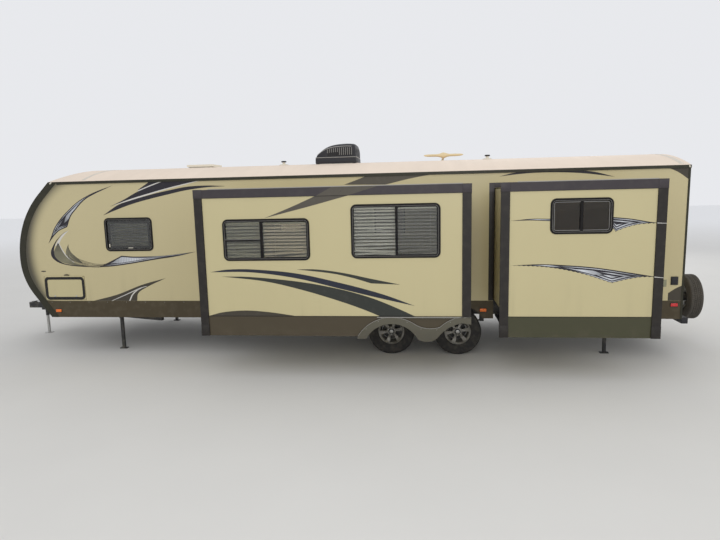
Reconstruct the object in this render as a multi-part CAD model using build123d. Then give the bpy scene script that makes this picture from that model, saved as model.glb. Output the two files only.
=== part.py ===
from build123d import *
import math
import os

# Travel caravan with two slide-out rooms, both run out, standing on its tandem wheels and tongue jack.
# Millimetres. +X points to the rear, -Y to the road side, where the slide-outs are, and +Z up.
# While it is modelled, x = 0 lies halfway between the axles, y = 0 on the centre line, z = 0 on the ground.
# At the end all pieces move together, so that the origin is the middle of the bounding box's foot.

# Body
body_width = 2440.0
wall_thickness = 50.0
rear_x = 3649.0
skirt_bottom_z = 579.0
floor_z = 848.0
deck_thickness = 60.0
deck_wing_setback = 60.0
wheel_arch_gap = 78.0
cutter_reach = 1.0
wall_top_z = 2745.0
roof_rise = 215.0
ceiling_drop = 45.0
skirt_thickness = 20.0

# Front of the side profile: a slope, a bulge and an undercut
bulge_x = -6470.0
slope_foot_z = 2130.0
undercut_top_z = 1205.0
undercut_slope = 0.718
bulge_radius = 1457.0
undercut_radius = 940.0
top_corner_radius = 100.0

# Trims
band_width = 105.0
band_thickness = 4.0
rail_height = 42.0
rail_depth = 18.0
corner_trim_width = 28.0

# Chassis
rail_y = 890.0
rail_flange_width = 70.0
rail_flange_thickness = 8.0
rail_web_thickness = 6.0
rail_front_x = -5350.0
cross_member_depth = 90.0
cross_member_width = 60.0
outrigger_gap = 24.0
tongue_height = 127.0
tongue_width = 55.0
tongue_rear_x = -4300.0
tongue_tip_x = -7000.0
tongue_tip_gap = 20.0
tongue_head_front = 60.0
tongue_head_rear = 160.0
tongue_head_margin = 25.0
coupler_tip_x = -7360.0
ball_radius = 29.37
ball_clearance = 0.2
socket_lip = 11.0
coupler_width = 90.0
coupler_nose = 45.0
ball_height = 40.0

# Wheels and axles
axle_spacing = 1002.0
tyre_radius = 352.0
tyre_width = 205.0
rim_radius = 196.0
wheel_y = 1060.0
hub_radius = 70.0
spindle_radius = 22.0
spindle_clearance = 0.06
axle_radius = 38.0
spring_length = 760.0
spring_width = 45.0
spring_thickness = 26.0
spring_eye_z = 490.0
spring_eye_radius = 17.0
equaliser_z = 542.0
shackle_thickness = 6.0
hanger_plate = 8.0
drum_radius = 134.0
drum_width = 58.0
spoke_count = 6
rim_wall = 14.0
dish_thickness = 22.0
spoke_half_width = 17.0
spoke_rim_margin = 12.0
hub_margin = 4.0
window_peak = 22.0
hub_inner = 20.0
hub_bore_end = 40.0
shoulder = 14.0
spring_seat_half = 60.0
spring_seat_height = 12.0
equaliser_radius = 20.0
equaliser_half_width = 11.0
equaliser_half_height = 16.0
shackle_half = 16.0
leaf_end_rise = 10.0
leaf_end_drop = 4.0
hanger_half = 32.0
hanger_drop = 25.0

# Fenders over the wheels
fender_width = 20.0
fender_proud = 12.0

# Slide-out rooms
slide_reach = 1040.0
closing_gap = 6.0
slide_overlap = 60.0
slide_gap = 12.0
flange_width = 110.0
flange_thickness = 28.0
face_thickness = 45.0
slide_wall_thickness = 40.0
slide_top_z = 2552.0
slide_inner_depth = 90.0
arm_size = 60.0
arm_z = 738.0
arm_clearance = 0.5
arm_bracket_width = 160.0
running_gap = 6.0
arm_inner_length = 700.0
guide_wall = 8.0
guide_length = 300.0
guide_setback = 60.0

# Jacks
jack_x = -7020.0
jack_tube_radius = 30.0
jack_leg_radius = 25.0
jack_clearance = 0.3
jack_top_z = 1130.0
jack_tube_bottom_z = 330.0
jack_foot_radius = 75.0
jack_foot_thickness = 12.0
jack_plate_half = 70.0
jack_plate_half_width = 90.0
jack_plate_thickness = 10.0
jack_collar_radius = 62.0
jack_collar_thickness = 12.0
jack_head_front = 55.0
jack_head_rear = 75.0
jack_head_half_width = 45.0
jack_head_height = 110.0
jack_bore_end = 20.0
jack_leg_drop = 420.0
stabiliser_y = 985.0
stabiliser_tube = 44.0
stabiliser_pivot_z = 545.0
stabiliser_pin_radius = 8.0
stabiliser_foot = 120.0
pin_clearance = 0.06
ear_thickness = 8.0
ear_gap = 1.0
ear_half = 28.0
ear_plate_half = 50.0
ear_plate_reach = 40.0
ear_plate_foot = 20.0
ear_plate_thickness = 12.0
ear_overlap = 2.0
stabiliser_foot_height = 14.0
stabiliser_foot_margin = 12.0
pin_proud = 4.0

# Windows: a frame with rounded corners round two panes, and a lip over the wall
frame_width = 32.0
frame_proud = 12.0
frame_corner = 57.0
glass_thickness = 5.0
cut_gap = 0.3
sleeve_share = 0.35
pane_share = 0.25
transom_half = 14.0

# Entry door, baggage doors and steps
door_x = -2900.0
door_width = 660.0
door_window_side = 130.0
door_window_foot = 890.0
door_window_drop = 200.0
door_window_corner = 60.0
door_pane_thickness = 6.0
hinge_inset = 190.0
hinge_half = 40.0
hinge_leaf = 3.0
hinge_leaf_reach = 40.0
door_sill_z = 860.0
door_top_z = 2600.0
door_thickness = 42.0
door_gap = 6.0
door_hinge_radius = 8.0
hinge_seat = 0.3
baggage_x = -6089.0
baggage_width = 687.0
baggage_z = 866.0
baggage_height = 377.0
baggage_thickness = 42.0
baggage_frame_width = 34.0
baggage_frame_proud = 4.0
baggage_frame_corner = 45.0
baggage_hinge_inset = 20.0
baggage_hinge_drop = 30.0
handle_inset = 75.0
handle_z = 1620.0
handle_half_width = 50.0
handle_half_height = 75.0
handle_proud = 9.0
step_width = 560.0
step_depth = 230.0
step_z = 430.0
step_out = 330.0
step_thickness = 30.0
step_rail_reach = 30.0
channel_wall = 4.0
channel_gap = 0.3
channel_front = 40.0
channel_rear = 110.0
channel_post_inset = 10.0
channel_post_half = 30.0

# Roof equipment
cooler_front_x = -1752.0
cooler_rear_x = -1079.0
cooler_height = 318.0
cooler_width = 660.0
cooler_pan_height = 120.0
shroud_inset = 10.0
louvre_count = 11
louvre_start = 300.0
louvre_pitch = 30.0
louvre_width = 12.0
louvre_depth = 14.0
louvre_foot = 18.0
louvre_head = 60.0
grille_slots = 4
grille_pitch = 26.0
grille_slot = 11.0
grille_margin = 60.0
vent_x = -3775.0
vent_size = 400.0
vent_lid_size = 450.0
vent_rise = 28.0
lid_skirt = 20.0
lid_crown = 16.0
lid_wall = 8.0
vent_barrel = 6.0
vent_wall = 20.0
roof_sink = 30.0
roof_seat = 0.3
boot_half = 55.0
boot_height = 12.0
pipe_radius = 24.0
pipe_height = 38.0
pipe_cap_radius = 40.0
pipe_cap_height = 14.0
antenna_x = 335.0
antenna_span = 640.0
antenna_tube_length = 640.0
antenna_pivot_y = 640.0
antenna_rise = 60.0
antenna_base_half = 70.0
antenna_base_half_width = 60.0
antenna_base_top = 35.0
antenna_base_foot = 110.0
antenna_cheek_in = 24.0
antenna_cheek_out = 34.0
antenna_cheek_half = 30.0
antenna_cheek_overlap = 5.0
antenna_cheek_top = 20.0
mast_width = 34.0
mast_depth = 30.0
mast_cut = 60.0
mast_knuckle = 18.0
mast_neck = 40.0
mast_pin = 8.0
mast_pin_half = 40.0
head_knuckle = 16.0
head_neck = 50.0
head_neck_width = 20.0
head_neck_depth = 26.0
head_pin = 7.0
head_pin_half = 30.0
head_cheek_in = 11.0
head_cheek_half = 22.0
head_cheek_drop = 20.0
head_front = 90.0
head_rear = 30.0
head_foot = 30.0
head_thickness = 45.0

# Rear bumper and spare wheel
bumper_gap = 11.0
bumper_size = 84.0
bumper_wall = 5.0
bumper_z = 548.0
bumper_end_gap = 30.0
bracket_half = 30.0
bracket_height = 60.0
spare_reach = 446.0
spare_y = -250.0
spare_z = 722.0
carrier_gap = 2.0
carrier_thickness = 12.0
carrier_bar_y = 90.0
carrier_bar_half = 25.0
carrier_half_width = 115.0
carrier_top = 80.0

# Gas cylinders on the tongue
gas_x = -6700.0
gas_radius = 155.0
gas_gap = 10.0
gas_height = 474.0
gas_shoulder = 60.0
gas_tray_thickness = 6.0
gas_tray_half_length = 160.0
gas_tray_half_width = 330.0
gas_collar_radius = 90.0
gas_collar_wall = 8.0
gas_collar_height = 120.0

# Lamps
lamp_length = 105.0
lamp_height = 58.0
lamp_depth = 16.0
rear_lamp_y = 1000.0
rear_lamp_z = 1005.0
rear_lamp_width = 220.0
rear_lamp_height = 200.0
rear_lamp_depth = 28.0

# Power inlet hatch, waste outlet and grab handle
inlet_x = 3518.0
inlet_z = 1134.0
inlet_width = 96.0
inlet_height = 118.0
inlet_depth = 12.0
outlet_x = 1150.0
outlet_z = 520.0
outlet_radius = 38.0
outlet_wall = 6.0
outlet_depth = 60.0
outlet_setback = 60.0
outlet_end_inset = 200.0
outlet_strap_half = 30.0
grab_gap = 110.0
grab_low_z = 1250.0
grab_high_z = 1750.0
grab_reach = 75.0
grab_bend = 45.0
grab_width = 30.0
grab_depth = 16.0

# Awning on the door side
awning_x0 = -3500.0
awning_x1 = 2100.0
awning_radius = 52.0
awning_arm_width = 45.0
awning_arm_depth = 38.0
awning_foot_z = 1150.0
awning_gap = 4.0
awning_drop = 70.0
awning_bracket = 20.0
awning_bracket_drop = 40.0

half_width = body_width / 2
inner_y = half_width - wall_thickness
deck_bottom_z = floor_z - deck_thickness
rail_bottom_z = skirt_bottom_z
ceiling_z = wall_top_z - ceiling_drop
crown_z = wall_top_z + roof_rise
roof_radius = (half_width ** 2 + roof_rise ** 2) / (2 * roof_rise)
travel = slide_reach - closing_gap
bumper_x = rear_x + bumper_gap + bumper_size / 2
bumper_length = body_width - 2 * bumper_end_gap
spare_x = bumper_x + spare_reach

pieces = {}


def put(name, *solids):
    """Add solids to a named sub-part."""
    pieces.setdefault(name, []).extend(solids)


def slab(x0, x1, y0, y1, z0, z1):
    """Block between two corners."""
    return Pos((x0 + x1) / 2, (y0 + y1) / 2, (z0 + z1) / 2) * Box(x1 - x0, y1 - y0, z1 - z0)


def along_y(face, y0, y1):
    """Face drawn in x and z, made a plate from y0 to y1."""
    plane = Plane((0, y0, 0), x_dir=(1, 0, 0), z_dir=(0, -1, 0))
    return extrude(plane * face, amount=-(y1 - y0))


def along_x(face, x0, x1):
    """Face drawn in y and z, made a bar from x0 to x1."""
    plane = Plane((x0, 0, 0), x_dir=(0, 1, 0), z_dir=(1, 0, 0))
    return extrude(plane * face, amount=x1 - x0)


def rod_x(x0, x1, y, z, radius):
    """Round bar along x."""
    return Pos((x0 + x1) / 2, y, z) * Rot(0, 90, 0) * Cylinder(radius, x1 - x0)


def rod_y(y0, y1, x, z, radius):
    """Round bar along y."""
    return Pos(x, (y0 + y1) / 2, z) * Rot(90, 0, 0) * Cylinder(radius, y1 - y0)


def rod_z(z0, z1, x, y, radius):
    """Upright round bar."""
    return Pos(x, y, (z0 + z1) / 2) * Cylinder(radius, z1 - z0)


def rectangle(x0, x1, z0, z1):
    """Rectangle between two corners of a sketch."""
    return Pos((x0 + x1) / 2, (z0 + z1) / 2) * Rectangle(x1 - x0, z1 - z0)


def rounded(x0, x1, z0, z1, radius):
    """Rectangle with round corners between two corners of a sketch."""
    return Pos((x0 + x1) / 2, (z0 + z1) / 2) * RectangleRounded(x1 - x0, z1 - z0, radius)


def corner_at(face, x, z):
    """Vertex of a sketch nearest to a point."""
    return min(face.vertices(), key=lambda v: (v.X - x) ** 2 + (v.Y - z) ** 2)


def undercut_x(z):
    """Place of the front undercut at a height."""
    return bulge_x + (undercut_top_z - z) * undercut_slope


def slope_x(z):
    """Place of the upper front slope, which leans back at 45 degrees."""
    return bulge_x + z - slope_foot_z


def side_outline(z_low, z_high, inset=0.0):
    """Side view of the body between two heights, with its front moved in by a wall."""
    back = inset * math.hypot(1, undercut_slope)
    lean = inset * math.sqrt(2)
    front = bulge_x + inset
    upper = slope_foot_z + inset - lean
    lower = undercut_top_z + (inset - back) / -undercut_slope
    points = [(rear_x, z_low), (rear_x, z_high), (slope_x(z_high) + lean, z_high)]
    points += [(front, upper), (front, lower), (undercut_x(z_low) + back, z_low)]
    face = make_face(Polyline(*points, close=True))
    face = fillet(corner_at(face, front, upper), bulge_radius - inset)
    return fillet(corner_at(face, front, lower), undercut_radius - inset)


def roof_height(y):
    """Height of the roof skin at a distance from the centre line."""
    return crown_z - roof_radius + math.sqrt(roof_radius ** 2 - y ** 2)


# Slide-out rooms: name, front and rear edge of the flange, places of the two arms
SLIDES = [
    ("slide_1", -3034.0, 597.0, (-2350.0, -1150.0)),
    ("slide_2", 954.0, 2921.0, (1350.0, 2500.0)),
]
arm_places = [x for slide in SLIDES for x in slide[3]]

# Windows in the walls and slide-out faces: owner, front, rear, foot, head, and the places of an upright
# mullion and of a level transom in its front half, or None
WINDOWS = [
    ("road_wall", -4976.0, -4196.0, 1648.0, 2162.0, None, None),
    ("slide_1", -2657.0, -1490.0, 1609.0, 2153.0, -2135.0, 1879.0),
    ("slide_1", -934.0, 206.0, 1628.0, 2316.0, -349.0, None),
    ("slide_2", 1562.0, 2300.0, 1906.0, 2339.0, 1931.0, None),
    ("door_wall", -4976.0, -4196.0, 1648.0, 2162.0, None, None),
    ("door_wall", -1500.0, -330.0, 1648.0, 2316.0, -915.0, None),
    ("door_wall", 1180.0, 1940.0, 1906.0, 2316.0, 1560.0, None),
]


def window_hole(x0, x1, z0, z1, y0, y1):
    """Cut-out for a window frame's sleeve."""
    inset = frame_width * sleeve_share - cut_gap
    return along_y(rounded(x0 + inset, x1 - inset, z0 + inset, z1 - inset, frame_corner), y0, y1)


def window_frame(x0, x1, z0, z1, mullion, transom, y_out, out, depth):
    """Frame with a lip outside the wall, a sleeve through it and bars between the panes."""
    inset = frame_width * sleeve_share
    y_lip = y_out + out * frame_proud
    y_in = y_out - out * depth
    outer = rounded(x0, x1, z0, z1, frame_corner + inset)
    sleeve = rounded(x0 + inset, x1 - inset, z0 + inset, z1 - inset, frame_corner)
    clear = rounded(x0 + frame_width, x1 - frame_width, z0 + frame_width, z1 - frame_width, frame_corner / 2)
    frame = along_y(outer - clear, min(y_out, y_lip), max(y_out, y_lip))
    frame += along_y(sleeve - clear, min(y_out, y_in), max(y_out, y_in))
    y0, y1 = sorted((y_lip, y_in))
    bar = frame_width / 2
    if mullion is not None:
        frame += slab(mullion - bar, mullion + bar, y0, y1, z0 + bar, z1 - bar)
    if transom is not None:
        frame += slab(x0 + bar, mullion, y0, y1, transom - transom_half, transom + transom_half)
    return frame


def window_panes(x0, x1, z0, z1, mullion, transom, y_out, out, depth):
    """Panes that fill the frame's openings."""
    y_pane = y_out - out * depth * pane_share
    glass = rounded(x0 + frame_width, x1 - frame_width, z0 + frame_width, z1 - frame_width, frame_corner / 2)
    bar = frame_width / 2
    if mullion is not None:
        glass -= rectangle(mullion - bar, mullion + bar, z0, z1)
    if transom is not None:
        glass -= rectangle(x0, mullion, transom - transom_half, transom + transom_half)
    return along_y(glass, y_pane - glass_thickness / 2, y_pane + glass_thickness / 2).solids()


# Side walls, front cap, rear wall and roof
wall_face = side_outline(floor_z, wall_top_z)
wall_face = fillet(corner_at(wall_face, slope_x(wall_top_z), wall_top_z), top_corner_radius)
full_face = side_outline(skirt_bottom_z, wall_top_z)

road_wall = along_y(wall_face, -half_width, -inner_y)
door_wall = along_y(wall_face, inner_y, half_width)
for _, x0, x1, _ in SLIDES:
    road_wall -= slab(x0 + slide_overlap, x1 - slide_overlap, -half_width - cutter_reach,
                      -inner_y + cutter_reach, floor_z - cutter_reach, slide_top_z - slide_overlap)
for owner, x0, x1, z0, z1, _, _ in WINDOWS:
    if owner == "road_wall":
        road_wall -= window_hole(x0, x1, z0, z1, -half_width - cutter_reach, -inner_y + cutter_reach)
    if owner == "door_wall":
        door_wall -= window_hole(x0, x1, z0, z1, inner_y - cutter_reach, half_width + cutter_reach)
door_opening = rectangle(door_x - door_gap, door_x + door_width + door_gap,
                         door_sill_z - door_gap, door_top_z + door_gap)
door_wall -= along_y(door_opening, inner_y - cutter_reach, half_width + cutter_reach)
baggage_opening = rectangle(baggage_x - door_gap, baggage_x + baggage_width + door_gap,
                            baggage_z - door_gap, baggage_z + baggage_height + door_gap)
road_wall -= along_y(baggage_opening, -half_width - cutter_reach, -inner_y + cutter_reach)
door_wall -= along_y(baggage_opening, inner_y - cutter_reach, half_width + cutter_reach)

cap_outer = side_outline(skirt_bottom_z, ceiling_z)
cap_inner = side_outline(skirt_bottom_z, ceiling_z, wall_thickness)
cap_face = cap_outer - cap_inner
front_cap = along_y(cap_face, -inner_y, inner_y)

rear_wall = slab(rear_x - wall_thickness, rear_x, -inner_y, inner_y, floor_z, ceiling_z)

roof_arc = ThreePointArc((-half_width, wall_top_z), (0, crown_z), (half_width, wall_top_z))
roof_foot = Polyline((half_width, wall_top_z), (inner_y, wall_top_z), (inner_y, ceiling_z),
                     (-inner_y, ceiling_z), (-inner_y, wall_top_z), (-half_width, wall_top_z))
roof_face = make_face([roof_arc, roof_foot])
roof_bar = along_x(roof_face, slope_x(ceiling_z) - cutter_reach, rear_x)
roof = roof_bar & along_y(side_outline(skirt_bottom_z, crown_z + cutter_reach), -half_width, half_width)

put("road_wall", road_wall)
put("door_wall", door_wall)
put("front_cap", front_cap)
put("rear_wall", rear_wall)
put("roof", roof)

# Floor deck between the skirts, and the skirts below the walls
skirt_y = half_width - skirt_thickness
deck_rear_x = rear_x - skirt_thickness
deck_front_x = undercut_x(deck_bottom_z) + wall_thickness * math.hypot(1, undercut_slope)
deck = slab(deck_front_x, deck_rear_x, -inner_y, inner_y, deck_bottom_z, floor_z)
for side in (-1, 1):
    y0, y1 = sorted((side * inner_y, side * skirt_y))
    deck += slab(undercut_x(deck_bottom_z) + deck_wing_setback, deck_rear_x, y0, y1, deck_bottom_z, floor_z)
put("floor_deck", deck)

skirt_face = full_face & rectangle(bulge_x, rear_x, skirt_bottom_z, floor_z)
wheel_x = axle_spacing / 2
arch_radius = tyre_radius + wheel_arch_gap


def wheel_circles(radius):
    """Two circles round the wheels' centres."""
    return Pos(-wheel_x, tyre_radius) * Circle(radius) + Pos(wheel_x, tyre_radius) * Circle(radius)


road_skirt = along_y(skirt_face - wheel_circles(arch_radius), -half_width, -skirt_y)
for _, x0, x1, _ in SLIDES:
    road_skirt -= slab(x0 + slide_overlap, x1 - slide_overlap, -half_width - cutter_reach,
                       -skirt_y + cutter_reach, skirt_bottom_z - cutter_reach, floor_z + cutter_reach)
door_skirt = along_y(skirt_face - wheel_circles(arch_radius), skirt_y, half_width)
door_fender = wheel_circles(arch_radius + fender_width) - wheel_circles(arch_radius)
door_fender &= rectangle(-rear_x, rear_x, skirt_bottom_z, floor_z)
door_skirt += along_y(door_fender, half_width, half_width + fender_proud)
rear_skirt = slab(deck_rear_x, rear_x, -skirt_y, skirt_y, skirt_bottom_z, floor_z)
slot_half = bracket_half + cutter_reach
for side in (-1, 1):
    rear_skirt -= slab(deck_rear_x - cutter_reach, rear_x + cutter_reach, side * rail_y - slot_half,
                       side * rail_y + slot_half, skirt_bottom_z - cutter_reach,
                       rail_bottom_z + bracket_height + cutter_reach)
put("skirts", *road_skirt.solids(), *door_skirt.solids(), rear_skirt)

# Trims: front bands, roof rails and rear corner strips on both sides, proud of the walls
band_face = full_face - side_outline(skirt_bottom_z, wall_top_z, band_width)
rail_front_end_x = slope_x(wall_top_z) + band_width * math.sqrt(2)
for side in (-1, 1):
    wall_y = side * half_width
    y0, y1 = sorted((wall_y, wall_y + side * band_thickness))
    band = along_y(band_face, y0, y1)
    y0, y1 = sorted((wall_y, wall_y + side * rail_depth))
    rail = slab(rail_front_end_x, rear_x, y0, y1, wall_top_z - rail_height, wall_top_z)
    y0, y1 = sorted((wall_y, wall_y + side * band_thickness))
    strip = slab(rear_x - corner_trim_width, rear_x, y0, y1, skirt_bottom_z, wall_top_z - rail_height)
    put("edge_trims", band + rail + strip)

# Chassis: two I-section rails, cross members, outriggers, an A-shaped tongue, hangers and guides
web = rail_web_thickness / 2
flange = rail_flange_width / 2
rail_top_z = deck_bottom_z
lower_z = rail_bottom_z + rail_flange_thickness
upper_z = rail_top_z - rail_flange_thickness
i_points = [(-flange, rail_bottom_z), (flange, rail_bottom_z), (flange, lower_z), (web, lower_z),
            (web, upper_z), (flange, upper_z), (flange, rail_top_z), (-flange, rail_top_z),
            (-flange, upper_z), (-web, upper_z), (-web, lower_z), (-flange, lower_z)]
i_section = make_face(Polyline(*i_points, close=True))
rail_rear_x = rear_x - skirt_thickness
chassis = along_x(Pos(-rail_y, 0) * i_section, rail_front_x, rail_rear_x)
chassis += along_x(Pos(rail_y, 0) * i_section, rail_front_x, rail_rear_x)
cross_half = cross_member_width / 2
cross_end = 40.0
cross_from_wheel = spring_length / 2
cross_places = [rail_front_x + cross_end, -4300.0, -3200.0, -1750.0, -wheel_x - cross_from_wheel, 0.0,
                wheel_x + cross_from_wheel, 2000.0, 3100.0, rail_rear_x - cross_end]
outrigger_length = skirt_y - outrigger_gap
for x in cross_places:
    chassis += slab(x - cross_half, x + cross_half, -rail_y, rail_y,
                    deck_bottom_z - cross_member_depth, deck_bottom_z)
    if abs(x) > axle_spacing:
        chassis += slab(x - cross_half, x + cross_half, -outrigger_length, outrigger_length,
                        deck_bottom_z - cross_member_depth / 2, deck_bottom_z)

tongue_top_z = rail_bottom_z
tongue_bottom_z = tongue_top_z - tongue_height
tongue_tip_y = coupler_width / 2 + tongue_tip_gap
for side in (-1, 1):
    start = Vector(tongue_rear_x, side * rail_y, 0)
    tip = Vector(tongue_tip_x, side * tongue_tip_y, 0)
    run = tip - start
    middle = (start + tip) * 0.5
    angle = math.degrees(math.atan2(run.Y, run.X))
    chassis += (Pos(middle.X, middle.Y, (tongue_top_z + tongue_bottom_z) / 2) * Rot(0, 0, angle)
                * Box(run.length, tongue_width, tongue_height))
head_half = tongue_tip_y + tongue_head_margin
chassis += slab(tongue_tip_x - tongue_head_front, tongue_tip_x + tongue_head_rear, -head_half, head_half,
                tongue_bottom_z, tongue_top_z)

# Guides that the slide-out arms run in, through the road-side rail
arm_half = arm_size / 2
for x in arm_places:
    grown = arm_half + arm_clearance
    outside = grown + guide_wall
    guide = slab(x - outside, x + outside, -rail_y - guide_length / 2, -rail_y + guide_length / 2,
                 arm_z - outside, deck_bottom_z)
    chassis += guide
    chassis -= slab(x - grown, x + grown, -rail_y - guide_length, rail_y - guide_setback,
                    arm_z - grown, arm_z + grown)

# Spring hangers under the rails
hanger_places = [-wheel_x - spring_length / 2, 0.0, wheel_x + spring_length / 2]
for side in (-1, 1):
    for x in hanger_places:
        for offset in (-1, 1):
            y = side * rail_y + offset * (spring_width / 2 + hinge_seat + hanger_plate / 2)
            foot_z = (spring_eye_z if x else equaliser_z) - hanger_drop
            chassis += slab(x - hanger_half, x + hanger_half, y - hanger_plate / 2, y + hanger_plate / 2,
                            foot_z, rail_bottom_z)

# Ears for the stabilisers, on plates under the outriggers: name, place along x, side
STABILISERS = [
    ("stabiliser_front_road", -4960.0, -1, 1),
    ("stabiliser_front_door", -4960.0, 1, 1),
    ("stabiliser_rear_road", 2680.0, -1, -1),
    ("stabiliser_rear_door", 2680.0, 1, -1),
]
ear_inner = stabiliser_tube / 2 + ear_gap
ear_plate_z = rail_bottom_z + ear_plate_foot
for _, x, side, _ in STABILISERS:
    y = side * stabiliser_y
    y0, y1 = sorted((side * (rail_y + web), y + side * ear_plate_reach))
    chassis += slab(x - ear_plate_half, x + ear_plate_half, y0, y1,
                    ear_plate_z, ear_plate_z + ear_plate_thickness)
    for offset in (-1, 1):
        y0, y1 = sorted((y + offset * ear_inner, y + offset * (ear_inner + ear_thickness)))
        chassis += slab(x - ear_half, x + ear_half, y0, y1,
                        stabiliser_pivot_z - ear_half, ear_plate_z + ear_overlap)
        chassis -= rod_y(y0 - cutter_reach, y1 + cutter_reach, x, stabiliser_pivot_z,
                         stabiliser_pin_radius + pin_clearance)

# Brackets that carry the bumper
for side in (-1, 1):
    chassis += slab(rail_rear_x - cross_end, bumper_x - bumper_size / 2, side * rail_y - bracket_half,
                    side * rail_y + bracket_half, rail_bottom_z, rail_bottom_z + bracket_height)

# Plate for the tongue jack
jack_grown = jack_tube_radius + jack_clearance
jack_plate_z = tongue_top_z + jack_plate_thickness
chassis += slab(jack_x - jack_plate_half, jack_x + jack_plate_half,
                -jack_plate_half_width, jack_plate_half_width, tongue_top_z, jack_plate_z)
chassis -= rod_z(tongue_bottom_z - cutter_reach, jack_plate_z + cutter_reach, jack_x, 0, jack_grown)

# Coupler: channel with a round nose and a domed ball socket
ball_z = tongue_bottom_z + ball_height
nose_x = coupler_tip_x + coupler_nose
socket_foot_z = ball_z - socket_lip
coupler = slab(nose_x, tongue_tip_x - tongue_head_front, -coupler_width / 2, coupler_width / 2,
               socket_foot_z, tongue_top_z)
coupler += rod_z(socket_foot_z, tongue_top_z, nose_x, 0, coupler_width / 2)
socket_radius = ball_radius + ball_clearance
coupler -= rod_z(socket_foot_z - cutter_reach, ball_z, nose_x, 0, socket_radius)
coupler -= Pos(nose_x, 0, ball_z) * Sphere(socket_radius)
put("coupler", coupler)

# Tongue jack: tube bolted in its plate, and the leg that slides in it
jack_tube = rod_z(jack_tube_bottom_z, jack_top_z, jack_x, 0, jack_tube_radius)
jack_tube += rod_z(jack_plate_z, jack_plate_z + jack_collar_thickness, jack_x, 0, jack_collar_radius)
jack_tube += slab(jack_x - jack_head_front, jack_x + jack_head_rear,
                  -jack_head_half_width, jack_head_half_width, jack_top_z, jack_top_z + jack_head_height)
jack_tube -= rod_z(jack_tube_bottom_z - cutter_reach, jack_top_z - jack_bore_end, jack_x, 0,
                   jack_leg_radius + jack_clearance)
put("jack_tube", jack_tube)
jack_leg = rod_z(0, jack_top_z - jack_leg_drop, jack_x, 0, jack_leg_radius)
jack_leg += rod_z(0, jack_foot_thickness, jack_x, 0, jack_foot_radius)
put("jack_leg", jack_leg)

# Stabiliser legs
leg_half = stabiliser_tube / 2
foot_half = stabiliser_foot / 2
foot_half_width = leg_half + stabiliser_foot_margin
pin_reach = ear_inner + ear_thickness + pin_proud
for name, x, side, _ in STABILISERS:
    y = side * stabiliser_y
    leg = slab(x - leg_half, x + leg_half, y - leg_half, y + leg_half, stabiliser_foot_height,
               stabiliser_pivot_z + leg_half)
    leg += slab(x - foot_half, x + foot_half, y - foot_half_width, y + foot_half_width,
                0, stabiliser_foot_height)
    leg += rod_y(y - pin_reach, y + pin_reach, x, stabiliser_pivot_z, stabiliser_pin_radius)
    put(name, leg)

# Axles with drums and spindles, springs and equalisers
drum_gap = 8.0
spindle_gap = 2.0
drum_outer_y = wheel_y - hub_inner - drum_gap
axle_reach = drum_outer_y - drum_width
seat_z = tyre_radius + axle_radius + spring_seat_height
half_spring = spring_width / 2
for x in (-wheel_x, wheel_x):
    axle = rod_y(-axle_reach, axle_reach, x, tyre_radius, axle_radius)
    for side in (-1, 1):
        y0, y1 = sorted((side * axle_reach, side * drum_outer_y))
        axle += rod_y(y0, y1, x, tyre_radius, drum_radius)
        y0, y1 = sorted((side * drum_outer_y, side * (wheel_y + hub_bore_end - spindle_gap)))
        axle += rod_y(y0, y1, x, tyre_radius, spindle_radius)
        axle += slab(x - spring_seat_half, x + spring_seat_half, side * rail_y - half_spring,
                     side * rail_y + half_spring, tyre_radius, seat_z)
    put("axles", axle)


def leaf_pack(x):
    """Side view of a leaf pack over an axle, from eye to eye."""
    front, rear = x - spring_length / 2, x + spring_length / 2
    top, foot = spring_eye_z + leaf_end_rise, spring_eye_z - leaf_end_drop
    return make_face([ThreePointArc((front, top), (x, seat_z + spring_thickness), (rear, top)),
                      Line((rear, top), (rear, foot)),
                      ThreePointArc((rear, foot), (x, seat_z), (front, foot)),
                      Line((front, foot), (front, top))])


for side in (-1, 1):
    y0 = side * rail_y - half_spring
    y1 = side * rail_y + half_spring
    running_gear = rod_y(y0, y1, 0, equaliser_z, equaliser_radius)
    for x in (-wheel_x, wheel_x):
        eyes = (x - spring_length / 2, x + spring_length / 2)
        inner_eye = min(eyes, key=abs)
        running_gear += along_y(leaf_pack(x), y0, y1)
        for eye in eyes:
            running_gear += rod_y(y0, y1, eye, spring_eye_z, spring_eye_radius)
        running_gear += slab(min(0, inner_eye), max(0, inner_eye), side * rail_y - equaliser_half_width,
                             side * rail_y + equaliser_half_width, equaliser_z - equaliser_half_height,
                             equaliser_z + equaliser_half_height)
        for y in (y0 - shackle_thickness, y1):
            running_gear += slab(inner_eye - shackle_half, inner_eye + shackle_half, y, y + shackle_thickness,
                                 spring_eye_z - shackle_half, equaliser_z + shackle_half)
    put("leaf_springs", running_gear)

# Wheels: rim with a face of spokes, and tyre
rim_y = tyre_width * 0.42


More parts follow.
